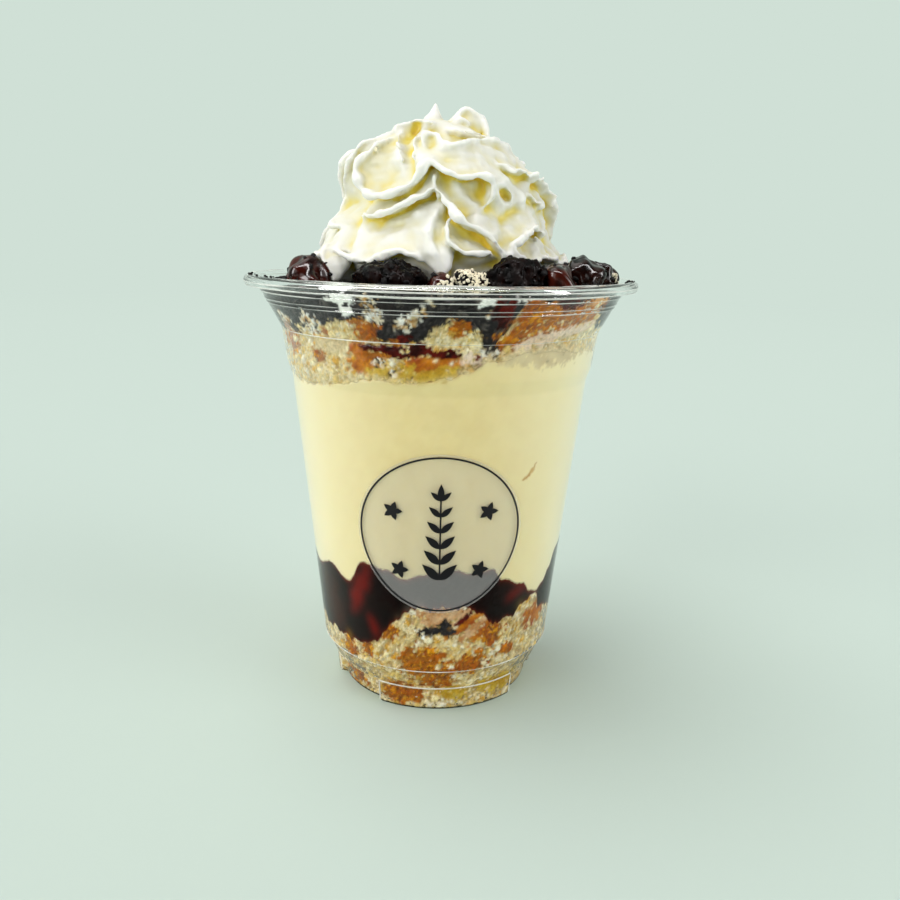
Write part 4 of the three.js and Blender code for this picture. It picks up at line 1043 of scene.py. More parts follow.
swirl = {
    "columns": 560, "rows": 190, "voxel": 0.432, "top": 143.9, "floor": 105.55, "bowl": 0.8,
    # half width, height and how far the middle leans to +X
    "outline": [
        (24.3, 105.55, -0.8), (26.3, 107.5, -0.8), (27.9, 109.5, -0.8), (28.6, 111.2, -0.6),
        (28.7, 113, -0.9), (28.1, 115, -1.1), (27.6, 117, -1), (26.7, 118.8, -0.6),
        (25.7, 120.5, 0.2), (24.5, 122, 1.4),
        (23.6, 123.6, 2.3), (23.3, 125.3, 2.1), (23.2, 127, 1.7), (23, 128.7, 1.1), (22.5, 130.3, 0.4),
        (21.5, 132, -0.5), (20.2, 133.7, -1.5), (18.5, 135.3, -2.3), (16.3, 136.8, -3.4), (14, 138.3, -3.9),
        (11.9, 139.8, -3.4), (10.1, 141.2, -2.8), (7.5, 142.5, -2.3), (3.9, 143.5, -2.2)],
    # folds along their crests: rise, soft side (left of the line), steep side (right), depth of the
    # trough under the steep side, how far the crest hangs over, thickness of the cord along the crest,
    # azimuth and height along the line
    "folds": [
        (4.0, 7.5, 1.5, 2.6, 1.2, 1.15, [
            (-31, 139.5), (-40, 136.5), (-46, 133.2), (-48.5, 130), (-45, 127), (-36, 126.2), (-27, 127),
            (-17, 129.5), (-10, 132.4), (-4, 133.6), (3, 131.4), (9, 130.2), (17, 131.2), (23.5, 130),
            (24.5, 127.6), (20, 124.6), (15, 121.5)]),
        (4.0, 5, 1.5, 2.4, 1.1, 1.15, [
            (-52, 121), (-44, 121.4), (-36, 121.5), (-29, 122.8), (-24, 124.8), (-15, 126.2), (-8, 127.8),
            (-3, 126), (2, 123), (8, 121), (14, 119.8), (20.5, 118.5), (26, 116), (29.5, 112.5), (31, 107)]),
        (2.4, 3, 1.3, 2.0, 0.7, 0.75, [
            (2.5, 121), (5.5, 117), (8.5, 114.8), (13, 113.6), (21.5, 113.9), (26, 112)]),
        (3.4, 8, 1.5, 2.6, 0.9, 0.95, [
            (86, 132), (66, 136), (47, 137.2), (30.5, 136.6), (15, 135.4), (6, 136), (3, 138), (-2, 137),
            (-8, 134)]),
        (2.6, 4, 1.5, 2.0, 0.6, 0.7, [(18, 141.4), (40, 140.9), (60, 140.6), (100, 139)]),
        (2.4, 4, 1.5, 1.2, 0.6, 0.8, [(2, 141), (-12, 141.8), (-30, 141.2), (-44, 139.6)]),
        (2.8, 6, 1.6, 1.8, 0.9, 0.95, [
            (-36, 141), (-52, 136), (-66, 131), (-76, 124), (-64, 119.6), (-52, 118.8)]),
        (3.4, 7, 2.4, 1.4, 0.4, 0.0, [(4, 104), (-0.5, 111), (-5, 118), (-8, 127)]),
        (3.6, 5, 1.5, 2.2, 1.5, 1.2, [
            (-108, 109), (-75, 112), (-60, 113.6), (-48, 114.6), (-38, 113.2), (-30, 112.4), (-22, 113.8),
            (-13, 114.6), (-6, 112.4), (0, 109.4)]),
        (2.8, 4.5, 1.5, 2.4, 0.9, 0.9, [(-60, 103), (-54, 109), (-50, 115)]),
        (2.8, 4, 1.4, 2.0, 1.1, 0.9, [(28, 110), (33, 115.5), (41, 118.6), (52, 119.6), (66, 117)]),
        (3.0, 4.5, 1.5, 2.0, 1.2, 1.05, [
            (26, 112), (35, 113.8), (43.5, 112.6), (54, 113.6), (70, 112.4), (84, 113), (116, 109)]),
        (2.6, 6, 2.0, 1.4, 0.5, 0.8, [(32, 134), (43, 132.4), (52, 131.6), (70, 130), (82, 124), (90, 112)]),
        (0.9, 2.6, 1.0, 0.4, 0.2, 0.4, [(46, 136.5), (40, 134), (34, 132)]),
        (0.9, 2.6, 1.0, 0.4, 0.2, 0.4, [(78, 137.5), (62, 135), (47, 133)]),
        (0.8, 2.4, 1.0, 0.4, 0.2, 0.4, [(73.5, 133), (62, 130), (54, 128.5)]),
        (1.2, 2.4, 1.0, 0.7, 0.3, 0.55, [(50, 127), (58, 124.6), (72, 124)]),
        (1.0, 2.4, 1.0, 0.8, 0.3, 0.6, [(27, 126), (31, 127.8), (36, 126.4), (35, 124)]),
        (1.2, 2.4, 1.0, 0.7, 0.3, 0.6, [(40, 115.4), (46, 117.2), (53, 116), (57, 114.2)]),
        (1.8, 3, 1.3, 0.8, 0.3, 0.8, [(-9, 124), (-8, 127), (-7, 130)]),
        (1.2, 3, 1.2, 0.8, 0.3, 0.6, [(-28, 140), (-22.5, 136), (-21, 131.5)]),
        (1.2, 3, 1.2, 0.8, 0.3, 0.6, [(-17, 131.5), (-14, 135.5), (-9, 139)]),
    ],
    "backFolds": {"count": 6, "from": 106, "step": 28, "sweep": 30, "low": 103, "high": 139,
                  "bend": [(0, 0), (0.4, 0.6), (1, 1)], "form": (3.6, 7, 1.9, 1.8, 1.0, 1.1)},
    "trough": 5.5,
    # free edges of the petal beside the tip and of the flap: places and half thickness
    "edges": [
        [(0.4, -2.4, 140.5, 0.6), (2.4, -3, 143.8, 0.8), (5.2, -2.4, 146.2, 0.9), (7.4, -2.6, 145.2, 0.8),
         (8.6, -2.2, 144, 0.8), (10.2, -2.8, 141.6, 0.9), (10.4, -3.4, 138.4, 0.7)],
        [(-1.5, -4.4, 141.6, 0.5), (1.8, -5, 142.2, 0.7), (4, -4.6, 143.6, 0.7), (6.2, -4.4, 142.6, 0.5)],
        [(-24, -24.8, 106.2, 0.5), (-26, -22.6, 109, 0.7), (-27.2, -19.4, 112, 0.8),
         (-26.4, -17, 114.6, 0.6)],
    ],
    # hollows: depth, half width, azimuth and height along the line
    "hollows": [
        (3.2, 3.4, [(-19, 139.5), (-18.5, 134.5), (-20, 130.6)]),
        (3.0, 2.9, [(-2.5, 129.4), (0.5, 126.6), (3.5, 124), (10, 121.4)]),
        (2.2, 2.5, [(4.5, 120.4), (10, 117.4), (22, 115.4)]),
        (2.0, 3.2, [(-42, 119.6), (-31, 118.4), (-20, 118.6)]),
        (2.0, 3.2, [(-52, 105), (-42, 108), (-34, 109.6)]),
        (2.0, 3.0, [(10, 111), (18, 110), (26, 111)]),
        (2.6, 2.0, [(30, 126.2), (31, 125.4)]),
        (2.6, 5.5, [(-38, 135), (-40, 131.5), (-34, 129.8), (-27, 129.6)]),
        (2.4, 4.0, [(8, 139.4), (18, 138.6), (40, 138.6)]),
        (2.0, 4.5, [(8, 127.2), (14, 126.6), (19, 127.4)]),
        (1.6, 5.0, [(-28, 118), (-18, 120.4), (-8, 120.5)]),
        (1.6, 4.5, [(20, 123), (28, 121.4), (38, 121.5)]),
        (2.2, 2.6, [(-58, 122), (-47, 118), (-41, 113.8)]),
        (1.6, 4.0, [(-58, 134), (-62, 128), (-58, 124)]),
    ],
    # lobes that stand out of the swirl: how flat, and places from the bottom up with half widths
    "lobes": [
        (1, [(-2.9, -0.8, 138, 6), (-2.8, -0.6, 142, 4.4), (-2.6, -0.4, 143.8, 2.6), (-2.3, -0.1, 145.6, 1.3),
             (-2.1, 0, 147.8, 0.35)]),
        (0.5, [(0.5, 0.5, 136, 6), (3.6, -0.4, 139.4, 6.2), (5.6, -1, 142.4, 5), (6.3, -1.2, 144.6, 3.6),
               (6.5, -1.2, 145.9, 1.7)]),
        (0.8, [(0, -30.8, 108.4, 1.1), (-0.3, -29.6, 110.2, 2.7), (-1.1, -27.4, 113.4, 3.9),
               (-2.2, -24.8, 117.5, 4.2), (-3.2, -22.6, 121.5, 3.6)]),
        (0.8, [(-23.9, -23.4, 106.2, 0.8), (-23.9, -22.2, 108, 2), (-23.6, -19.8, 110.6, 3.2),
               (-22.6, -16.6, 113.6, 3.4)]),
        (1, [(-17.5, -24.2, 110.4, 1.8), (-17.3, -23.2, 112.4, 3), (-16.6, -21, 115, 3)]),
    ],
    # torn surface towards +X: where it starts and is full, how far its cords wander, and its swells by
    # size and height
    "torn": {"from": 8, "to": 20, "ruffle": 0.5, "swell": [(3.6, 0.2), (1.5, 0.08)]},
    # swells of the whole surface, and rounds of smoothing: of the skin, and of the copies for the hollows
    "swell": [(0.1, 5, 51), (0.05, 1.8, 52)], "smooth": 2, "even": 6, "calm": 39, "calmer": 155,
}


def tornShare(x):
    # how torn the cream is at this place along X
    return np.clip((x - swirl["torn"]["from"]) / (swirl["torn"]["to"] - swirl["torn"]["from"]), 0, 1)


def smoothLine(points, steps=8):
    # Catmull-Rom curve through the points
    points = np.array(points, float)
    padded = np.vstack([2 * points[0] - points[1], points, 2 * points[-1] - points[-2]])
    line = []
    for i in range(len(points) - 1):
        a, b, c, d = padded[i:i + 4]
        for share in np.arange(steps) / steps:
            line.append(0.5 * (2 * b + (c - a) * share + (2 * a - 5 * b + 4 * c - d) * share ** 2
                               + (3 * b - a - 3 * c + d) * share ** 3))
    return np.array(line + [points[-1]])


def nearestOn(line, azimuth, z, turnScale):
    # distance over the surface to a line, its side, the share run along it, and the way towards it
    best = np.full(azimuth.shape, np.inf)
    left = np.zeros(azimuth.shape, bool)
    share = np.zeros(azimuth.shape)
    wayX = np.zeros(azimuth.shape)
    wayZ = np.zeros(azimuth.shape)
    for i in range(1, len(line)):
        runX = (line[i, 0] - line[i - 1, 0]) * turnScale
        runZ = line[i, 1] - line[i - 1, 1]
        hereX = ((azimuth - line[i - 1, 0] + 180) % 360 - 180) * turnScale
        hereZ = z - line[i - 1, 1]
        step = np.clip((hereX * runX + hereZ * runZ) / (runX ** 2 + runZ ** 2), 0, 1)
        offX = hereX - runX * step
        offZ = hereZ - runZ * step
        far = np.hypot(offX, offZ)
        closer = far < best
        best = np.where(closer, far, best)
        left = np.where(closer, runX * hereZ - runZ * hereX > 0, left)
        share = np.where(closer, (i - 1 + step) / (len(line) - 1), share)
        wayX = np.where(closer, offX / (far + 1e-6), wayX)
        wayZ = np.where(closer, offZ / (far + 1e-6), wayZ)
    return best, left, share, wayX, wayZ


def hump(distance, width):
    return np.where(np.abs(distance) < width, (1 - (distance / width) ** 2) ** 2, 0)


def swirlRows():
    # half width, height and lean of the outline at even steps along it
    outline = np.array(swirl["outline"])
    run = np.concatenate([[0], np.cumsum(np.hypot(*np.diff(outline[:, :2], axis=0).T))])
    at = np.linspace(0, run[-1], swirl["rows"])
    rows = (np.interp(at, run, outline[:, i]) for i in range(3))
    return [np.convolve(np.pad(row, 4, mode="edge"), np.ones(9) / 9, "valid") for row in rows]


def everyFold():
    back = swirl["backFolds"]
    folds = list(swirl["folds"])
    rise = back["high"] - back["low"]
    for i in range(back["count"]):
        start = back["from"] + i * back["step"]
        line = [(start + back["sweep"] * along, back["low"] + rise * up) for along, up in back["bend"]]
        folds.append((*back["form"], line))
    return folds


def swirlBody():
    half, height, lean = swirlRows()
    turn = np.arange(swirl["columns"]) * 360 / swirl["columns"]
    azimuth, z = np.meshgrid(turn, height)
    scale = np.radians(1) * half[:, None] * np.ones_like(azimuth)
    rise = np.zeros(z.shape)
    dip = np.zeros(z.shape)
    shiftX = np.zeros(z.shape)
    shiftZ = np.zeros(z.shape)
    for tall, soft, steep, foot, hang, _, line in everyFold():
        far, left, share, wayX, wayZ = nearestOn(smoothLine(line), azimuth, z, scale)
        fade = np.clip(6 * np.minimum(share, 1 - share), 0, 1)
        fall = 0.5 + 0.5 * np.cos(np.pi * np.clip(far / steep, 0, 1))
        lift = tall * fade * np.where(left, np.clip(1 - far / soft, 0, 1) ** 1.5, fall)
        stronger = lift > rise
        rise = np.maximum(rise, lift)
        beyond = np.clip(1 - (far - steep) / swirl["trough"], 0, 1) ** 1.6
        bowl = swirl["bowl"] * hump(far - 0.6 * soft, 0.5 * soft)
        dip = np.maximum(dip, fade * np.where(left, bowl, foot * np.where(far < steep, 1 - fall, beyond)))
        # the crest leans over its steep side
        push = hang * fade * hump(far, np.where(left, soft * 0.6, steep)) * np.where(left, -1, 1)
        shiftX = np.where(stronger, push * wayX, shiftX)
        shiftZ = np.where(stronger, push * wayZ, shiftZ)
    for deep, width, line in swirl["hollows"]:
        far, *_ = nearestOn(smoothLine(line), azimuth, z, scale)
        dip = np.maximum(dip, deep * hump(far, width))
    points = around(azimuth + shiftX / scale, half[:, None] + rise - dip, z + shiftZ)
    points[..., 2] = z + shiftZ
    points[..., 0] += lean[:, None]
    points[..., 2] = np.maximum(points[..., 2], swirl["floor"])
    poles = np.array([(lean[0], 0, swirl["floor"]), (lean[-1], 0, swirl["top"])])
    return np.concatenate([points.reshape(-1, 3), poles]), ringFaces(*azimuth.shape)


def cordBody(material):
    # cords that thicken the crest of each fold and the edge of the petal
    half, height, lean = swirlRows()
    lines = []
    for tall, _, _, _, hang, cord, line in everyFold():
        if cord == 0:
            continue
        path = smoothLine(line)
        share = np.linspace(0, 1, len(path))
        fade = np.clip(6 * np.minimum(share, 1 - share), 0, 1)
        radius = np.interp(path[:, 1], height, half)
        runX = np.gradient(path[:, 0]) * np.radians(1) * radius
        runZ = np.gradient(path[:, 1])
        length = np.hypot(runX, runZ)
        azimuth = path[:, 0] + np.degrees(hang * fade * runZ / length / radius)
        z = np.maximum(path[:, 1] - hang * fade * runX / length, swirl["floor"] + cord)
        point = around(azimuth, radius + tall * fade - 0.3 * cord, z)
        point[:, 0] += np.interp(path[:, 1], height, lean)
        point += 0.16 * np.stack([waves(point, 3, seed) for seed in (44, 45, 46)], axis=1)
        ruffle = tornShare(point[:, :1]) * swirl["torn"]["ruffle"]
        point += ruffle * np.stack([waves(point, 2, seed) for seed in (54, 55, 56)], axis=1)
        lines.append((point, 0.7 * cord * (0.25 + 0.75 * fade) * (1 + 0.28 * waves(point, 6, 47))))
    for edge in swirl["edges"]:
        path = smoothLine(edge)
        lines.append((path[:, :3], path[:, 3]))
    grown = makeCords("crest_cords", lines, 10, material)
    points, faces, _ = meshArrays(grown.data)
    bpy.data.objects.remove(grown)
    return points, faces


def sweptBody(stations, flat=1.0, sides=40, steps=8):
    path = smoothLine(stations, steps)
    turn = np.arange(sides) * 360 / sides
    rings = [around(turn, half, 0.0) * (1, flat, 1) + (x, y, z) for x, y, z, half in path]
    end = path[-1]
    poles = np.array([path[0][:3], (end[0], end[1], end[2] + end[3] / 2)])
    return np.concatenate(rings + [poles]), ringFaces(len(path), sides)


def remeshed(piece, voxel):
    # one even closed skin round everything in the piece
    modifier = piece.modifiers.new("skin", "REMESH")
    modifier.mode = "VOXEL"
    modifier.voxel_size = voxel * mm
    mesh = evaluatedMesh(piece)
    bpy.data.objects.remove(piece)
    return meshArrays(mesh)


def meshArrays(mesh):
    points = np.empty(len(mesh.vertices) * 3)
    mesh.vertices.foreach_get("co", points)
    loops = np.empty(len(mesh.loops), np.int64)
    mesh.loops.foreach_get("vertex_index", loops)
    sizes = np.empty(len(mesh.polygons), np.int64)
    mesh.polygons.foreach_get("loop_total", sizes)
    edgesOf = np.empty(len(mesh.edges) * 2, np.int64)
    mesh.edges.foreach_get("vertices", edgesOf)
    faces = [part.tolist() for part in np.split(loops, np.cumsum(sizes)[:-1])]
    return points.reshape(-1, 3) / mm, faces, edgesOf.reshape(-1, 2)


def smoothed(points, links, rounds, strength=0.5):
    # each point drawn towards the mean of its neighbours
    count = np.bincount(links.ravel(), minlength=len(points))[:, None]
    result = points.copy()
    for _ in range(rounds):
        total = np.zeros_like(result)
        for axis in range(result.shape[1]):
            total[:, axis] += np.bincount(links[:, 0], result[links[:, 1], axis], len(points))
            total[:, axis] += np.bincount(links[:, 1], result[links[:, 0], axis], len(points))
        result += strength * (total / np.maximum(count, 1) - result)
    return result


def pointNormals(points, faces):
    mesh = bpy.data.meshes.new("scratch")
    mesh.from_pydata(points.tolist(), [], faces)
    normals = np.empty(len(points) * 3)
    mesh.vertices.foreach_get("normal", normals)
    bpy.data.meshes.remove(mesh)
    return normals.reshape(-1, 3)


def creamMaterial():
    material, tree, shader = newMaterial("whipped_cream")
    # painted light and shade: the attribute is 0 on the crests, painted whitest, 0.4 where the surface is
    # even, and 1 in the deepest creases, painted darkest and most yellow
    hollow = addNode(tree, "ShaderNodeAttribute", attribute_name="hollow")
    ramp = addNode(tree, "ShaderNodeValToRGB", {0: hollow.outputs["Fac"]})
    stops = ramp.color_ramp.elements
    for stop, (place, colour) in zip(stops, ((0.1, (249, 249, 243)), (1.0, (226, 184, 20)))):
        stop.position = place
        stop.color = rgba(*colour)
    for place, colour in ((0.34, (233, 232, 220)), (0.52, (229, 224, 188)), (0.7, (230, 211, 92))):
        stops.new(place).color = rgba(*colour)
    tinted = grainy(tree, ramp.outputs["Color"], 0.08, 0.95, Scale=110.0, Detail=3.0, Contrast=0.8)
    feed(tree, shader, colour=tinted, roughness=0.42, specular=0.2, soft=0.12, softRadius=(1.0, 0.85, 0.5),
         softScale=0.9 * mm)
    addBump(tree, shader, placeGroup(tree, grain, Scale=1900.0, Detail=2.0)["Height"], 0.15, 0.00012)
    return material


def makeCream():
    material = creamMaterial()
    bodies = [swirlBody(), cordBody(material)]
    bodies += [sweptBody(stations, flat) for flat, stations in swirl["lobes"]]
    points = []
    faces = []
    for bodyPoints, bodyFaces in bodies:
        start = sum(len(part) for part in points)
        points.append(bodyPoints)
        faces += [[corner + start for corner in face] for face in bodyFaces]
    raw = makePiece("cream_parts", np.concatenate(points), faces, material)
    points, faces, links = remeshed(raw, swirl["voxel"])
    points = smoothed(points, links, swirl["smooth"])
    normals = pointNormals(points, faces)
    share = tornShare(points[:, 0])
    broad = sum(tall * waves(points, size, seed) for tall, size, seed in swirl["swell"])
    for size, tall in swirl["torn"]["swell"]:
        broad += share * tall * waves(points, size, 53)
    points += normals * broad[:, None]
    # how far the surface lies inside smoother copies of itself, which sets the painted shade of its creases
    even = smoothed(points, links, swirl["even"])
    calm = smoothed(even, links, swirl["calm"])
    calmer = smoothed(calm, links, swirl["calmer"])
    fine = ((calm - even) * normals).sum(axis=1)
    deep = ((calmer - even) * normals).sum(axis=1)
    hollow = np.clip(0.38 + 0.5 * fine + 0.18 * deep, 0, 1)
    piece = makePiece("whipped_cream_swirl", points, faces, material, values={"hollow": hollow})
    print("cream has", len(faces), "faces")
    return finished(piece, ["whipped_cream"])


makeCream()
print("cream piped")

# pieces of cookie on the rim
chunkLook = {
    "voxel": 0.4,
    # flat broken sides: how many, and how far out they cut, as a share of the piece's own reach
    "breaks": 16, "cut": (0.74, 1.0),
    # rounds of smoothing, swells by size and height, tints, and gloss with how far it varies
    "cookie": {"smooth": 2, "swell": [(4.0, 0.2), (1.8, 0.14), (0.9, 0.06)],
               "tints": [(2, 1, 1), (20, 6, 4)], "gloss": (0.6, 0.6)},
    "glaze": {"smooth": 14, "swell": [(6.0, 0.6)], "tints": [(24, 4, 3), (72, 22, 13)],
              "gloss": (0.95, 0.05)},
    # dark cookie dipped in chocolate, right of the front
    "dipped": {"smooth": 14, "swell": [(4.0, 0.3), (1.8, 0.05)], "tints": [(5, 2, 1), (36, 13, 8)],
               "gloss": (0.95, 0.1), "nodes": ["cookie_chunk_side", "cookie_nub_large", "cookie_nub_small"]},
    "look": {"grain": 1300.0, "dull": 0.8, "shiny": 0.12, "softRadius": (1.0, 0.4, 0.2), "specular": 0.04,
             "bump": 0.6, "bumpDepth": 0.2},
    "glazeLook": {"grain": 300.0, "contrast": 0.3, "dull": 0.5, "shiny": 0.12,
                  "softRadius": (1.0, 0.3, 0.1), "specular": 0.22, "bump": 0.05, "bumpDepth": 0.3},
}
# loose crumbs: how many per square millimetre, radius from and to, seed, colour, and the places they lie
# about, each with its reach
looseCrumbs = {
    "pale_crumbs": {
        "slot": "cake", "many": 4.6, "sizes": (0.1, 0.62), "seed": 3, "tint": (250, 240, 214),
        "spots": [(5.6, -40, 110.5, 5.4), (8.4, -42, 107.5, 5.4), (42.5, -14, 107.4, 3.4), (13, -38, 112, 2),
                  (2, -42, 106, 3)]},
    "dark_crumbs": {
        "slot": "cookie", "many": 0.14, "sizes": (0.2, 0.9), "seed": 4, "tint": (9, 6, 6),
        "spots": [(0, 0, 107, 60)]},
    "rim_specks": {
        "slot": "cookie", "many": 0.5, "sizes": (0.15, 0.42), "seed": 5, "tint": (12, 8, 8),
        "ring": (46.4, 48, 107.1),
        "spots": [(-44, -14, 107, 9), (-38, -27, 107, 5), (31, -34, 107, 3), (44, -14, 107, 7),
                  (40, 24, 107, 8)]},
    "top_crumbs": {
        "slot": "cookie", "many": 0.55, "sizes": (0.3, 1.3), "seed": 6, "tint": (15, 10, 9),
        "ring": (24, 42.6, 104.9), "spots": [(0, 0, 107, 250)]},
}


def nodeCopy(name):
    # a node's triangles joined into one mesh
    source = bmesh.new()
    source.from_mesh(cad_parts[name].data)
    bmesh.ops.remove_doubles(source, verts=source.verts, dist=0.000001)
    mesh = bpy.data.meshes.new(name + "_form")
    source.to_mesh(mesh)
    source.free()
    return addObject(name + "_form", mesh)


cookieMaterial = foodMaterial("cookie_piece", chunkLook["look"])
glazeMaterial = foodMaterial("chocolate_glaze", chunkLook["glazeLook"])


def makeChunk(node, kind):
    style = chunkLook[kind]
    points, faces, links = remeshed(nodeCopy(node), chunkLook["voxel"])
    points = smoothed(points, links, style["smooth"])
    if kind == "cookie":
        random = np.random.default_rng(len(points))
        middle = points.mean(axis=0)
        for way in random.normal(size=(chunkLook["breaks"], 3)):
            way /= np.linalg.norm(way)
            reach = (points - middle) @ way
            beyond = reach - reach.max() * random.uniform(*chunkLook["cut"])
            points = points - np.maximum(beyond, 0)[:, None] * way
        points = smoothed(points, links, 1)
    normals = pointNormals(points, faces)
    for i, (size, tall) in enumerate(style["swell"]):
        points = points + normals * (tall * waves(points, size, 60 + i))[:, None]
    low, high = (linear(colour) for colour in style["tints"])
    mix = np.clip(0.5 + 0.4 * waves(points, 2.4, 71), 0, 1)[:, None]
    material = cookieMaterial if kind == "cookie" else glazeMaterial
    gloss = np.clip(style["gloss"][0] + style["gloss"][1] * waves(points, 1.6, 72), 0, 1)
    piece = makePiece(node + "_piece", points, faces, material, values={"gloss": gloss},
                      colours={"tint": low + (high - low) * mix})
    finished(piece, [node])
    return points, faces


def crumbTree():
    # angular crumbs at random over the faces, as densely as the attribute dusted says
    tree, given, made = newGrower("loose_crumbs", {
        "Density": 500000.0, "Smallest": 0.0002, "Largest": 0.0006, "Seed": 1})
    dusted = addNode(tree, "GeometryNodeInputNamedAttribute", {"Name": "dusted"})
    spots = addNode(tree, "GeometryNodeDistributePointsOnFaces", {
        "Mesh": given["Geometry"], "Seed": given["Seed"],
        "Density": addMath(tree, "MULTIPLY", dusted.outputs[0], given["Density"])})
    crumb = addNode(tree, "GeometryNodeMeshIcoSphere", {"Radius": 1.0, "Subdivisions": 1})
    size = addNode(tree, "FunctionNodeRandomValue", {
        "Min": given["Smallest"], "Max": given["Largest"], "Seed": given["Seed"]}, data_type="FLOAT_VECTOR")
    turn = addNode(tree, "FunctionNodeRandomValue", {"Max": (6.3, 6.3, 6.3), "Seed": given["Seed"]},
                   data_type="FLOAT_VECTOR")
    placed = addNode(tree, "GeometryNodeInstanceOnPoints", {
        "Points": spots.outputs["Points"], "Instance": crumb.outputs[0], "Rotation": turn.outputs[0],
        "Scale": size.outputs[0]})
    return endGrower(tree, given, made, placed)


def crumbMaterial(name, tint):
    material, tree, shader = newMaterial(name)
    tinted = grainy(tree, rgba(*tint)[:3], 0.5, 0.72, Scale=1400.0, Detail=2.0, Contrast=1.0)
    feed(tree, shader, colour=tinted, roughness=0.8, specular=0.15)
    return material


def scatterCrumbs(name, chunks, tree):
    heap = looseCrumbs[name]
    if "ring" in heap:
        inner, outer, level = heap["ring"]
        turn = np.arange(180) * 2
        points = np.concatenate([around(turn, radius, level) for radius in (inner, outer)])
        faces = [[i, (i + 1) % 180, (i + 1) % 180 + 180, i + 180] for i in range(180)]
    else:
        points = np.concatenate([part for part, _ in chunks])
        starts = np.cumsum([0] + [len(part) for part, _ in chunks])
        faces = [[corner + start for corner in face]
                 for start, (_, part) in zip(starts, chunks) for face in part]
    dusted = np.zeros(len(points))
    for x, y, z, reach in heap["spots"]:
        far = np.linalg.norm(points - (x, y, z), axis=1)
        dusted = np.maximum(dusted, np.clip(1.3 - 1.3 * far / reach, 0, 1))
    material = crumbMaterial(name, heap["tint"])
    source = makePiece(name + "_bed", points, faces, material, values={"dusted": dusted})
    smallest, largest = heap["sizes"]
    values = {"Density": heap["many"] / mm ** 2, "Smallest": smallest * mm, "Largest": largest * mm,
              "Seed": heap["seed"], "Material": material}
    piece = growPiece(source, tree, values, name)
    print(name, len(piece.data.polygons), "faces")
    return finished(piece)


def chunkKind(node):
    if node.startswith("glazed"):
        return "glaze"
    return "dipped" if node in chunkLook["dipped"]["nodes"] else "cookie"


chunks = []
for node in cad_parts:
    if "chunk" in node or "nub" in node or "drop" in node:
        chunks.append(makeChunk(node, chunkKind(node)))
print("chunks broken")
crumbScatter = crumbTree()
for heapName in looseCrumbs:
    scatterCrumbs(heapName, chunks, crumbScatter)

label = {
    # half its width and height, and the middle's place on the wall
    "width": 19.0, "tall": 20.1, "azimuth": 1.3, "height": 49.4, "thickness": 0.25, "lift": 0.03,
    # print: thin ring, stem with pairs of leaves, and blossoms of petals
    "ring": 0.42, "ringInset": 0.5, "stem": (-10.5, 8.5), "stemWidth": 0.4, "pairs": 6,
    "leafLength": 5.6, "leafWidth": 2.1, "lean": 48, "petals": 5, "petalLength": 2.3, "petalWidth": 1.3,
    "blossoms": [(-10.8, 5.6), (10.8, 5.6), (-9.6, -8.4), (9.6, -8.4)],
    "gap": 0.01, "ink": 0.05,  # under and over the print, from the film
}


def ontoWall(across, up, out):
    # a point of the flat label, in millimetres, to its place on the wall, round as seen from the front
    z = label["height"] + up * label["tall"] / label["width"]
    azimuth = label["azimuth"] + np.degrees(np.arcsin(across / outerRadius(label["height"])))
    return around(azimuth, outerRadius(z) + label["lift"] + out, z)


def labelMaterial():
    material, tree, shader = newMaterial("label_film")
    marks = placeGroup(tree, smudges, Scale=60.0, Clean=0.25, Marked=0.45)
    tinted = grainy(tree, rgba(232, 230, 228)[:3], 0.1, 0.95, Scale=500.0, Detail=3.0, Contrast=0.6)
    feed(tree, shader, colour=tinted, roughness=marks["Roughness"], alpha=0.14)
    return material


def inkMaterial():
    material, tree, shader = newMaterial("label_ink")
    tinted = grainy(tree, rgba(17, 17, 20)[:3], 0.6, 0.7, Scale=2500.0, Detail=2.0, Contrast=1.2)
    feed(tree, shader, colour=tinted, roughness=0.4)
    return material


def makeLabel():
    rings = [(share, 0.0) for share in (0.2, 0.4, 0.6, 0.8, 1)] + [
        (share, label["thickness"]) for share in (1, 0.995, 0.8, 0.6, 0.4, 0.2)]
    turn = np.radians(np.arange(128) * 360 / 128)
    points = []
    for share, out in rings:
        radius = share * label["width"]
        points.append(ontoWall(radius * np.cos(turn), radius * np.sin(turn), out))
    poles = np.array([ontoWall(0.0, 0.0, 0.0), ontoWall(0.0, 0.0, label["thickness"])])
    piece = makePiece("round_label", np.concatenate(points + [poles]), ringFaces(len(rings), len(turn)),
                      labelMaterial())
    return finished(piece, ["label"])


def leafNodes(tree, length, width):
    # a pointed leaf that starts at the middle and runs along X
    blade = addNode(tree, "GeometryNodeMeshGrid", {
        "Size X": 1.0, "Size Y": 1.0, "Vertices X": 11, "Vertices Y": 3})
    place = splitPlace(tree, pointPlace(tree))
    run = addMath(tree, "ADD", place["X"], 0.5)
    full = addMath(tree, "SINE", addMath(tree, "MULTIPLY", addMath(tree, "POWER", run, 0.8), math.pi))
    leaf = addVector(
        tree, X=addMath(tree, "MULTIPLY", run, length),
        Y=addMath(tree, "MULTIPLY", addMath(tree, "MULTIPLY", place["Y"], full), width))
    return addNode(tree, "GeometryNodeSetPosition", {"Geometry": blade.outputs[0], "Position": leaf})


def addInstances(tree, points, instance, **values):
    return addNode(tree, "GeometryNodeInstanceOnPoints", {
        "Points": points, "Instance": instance.outputs[0], **values})


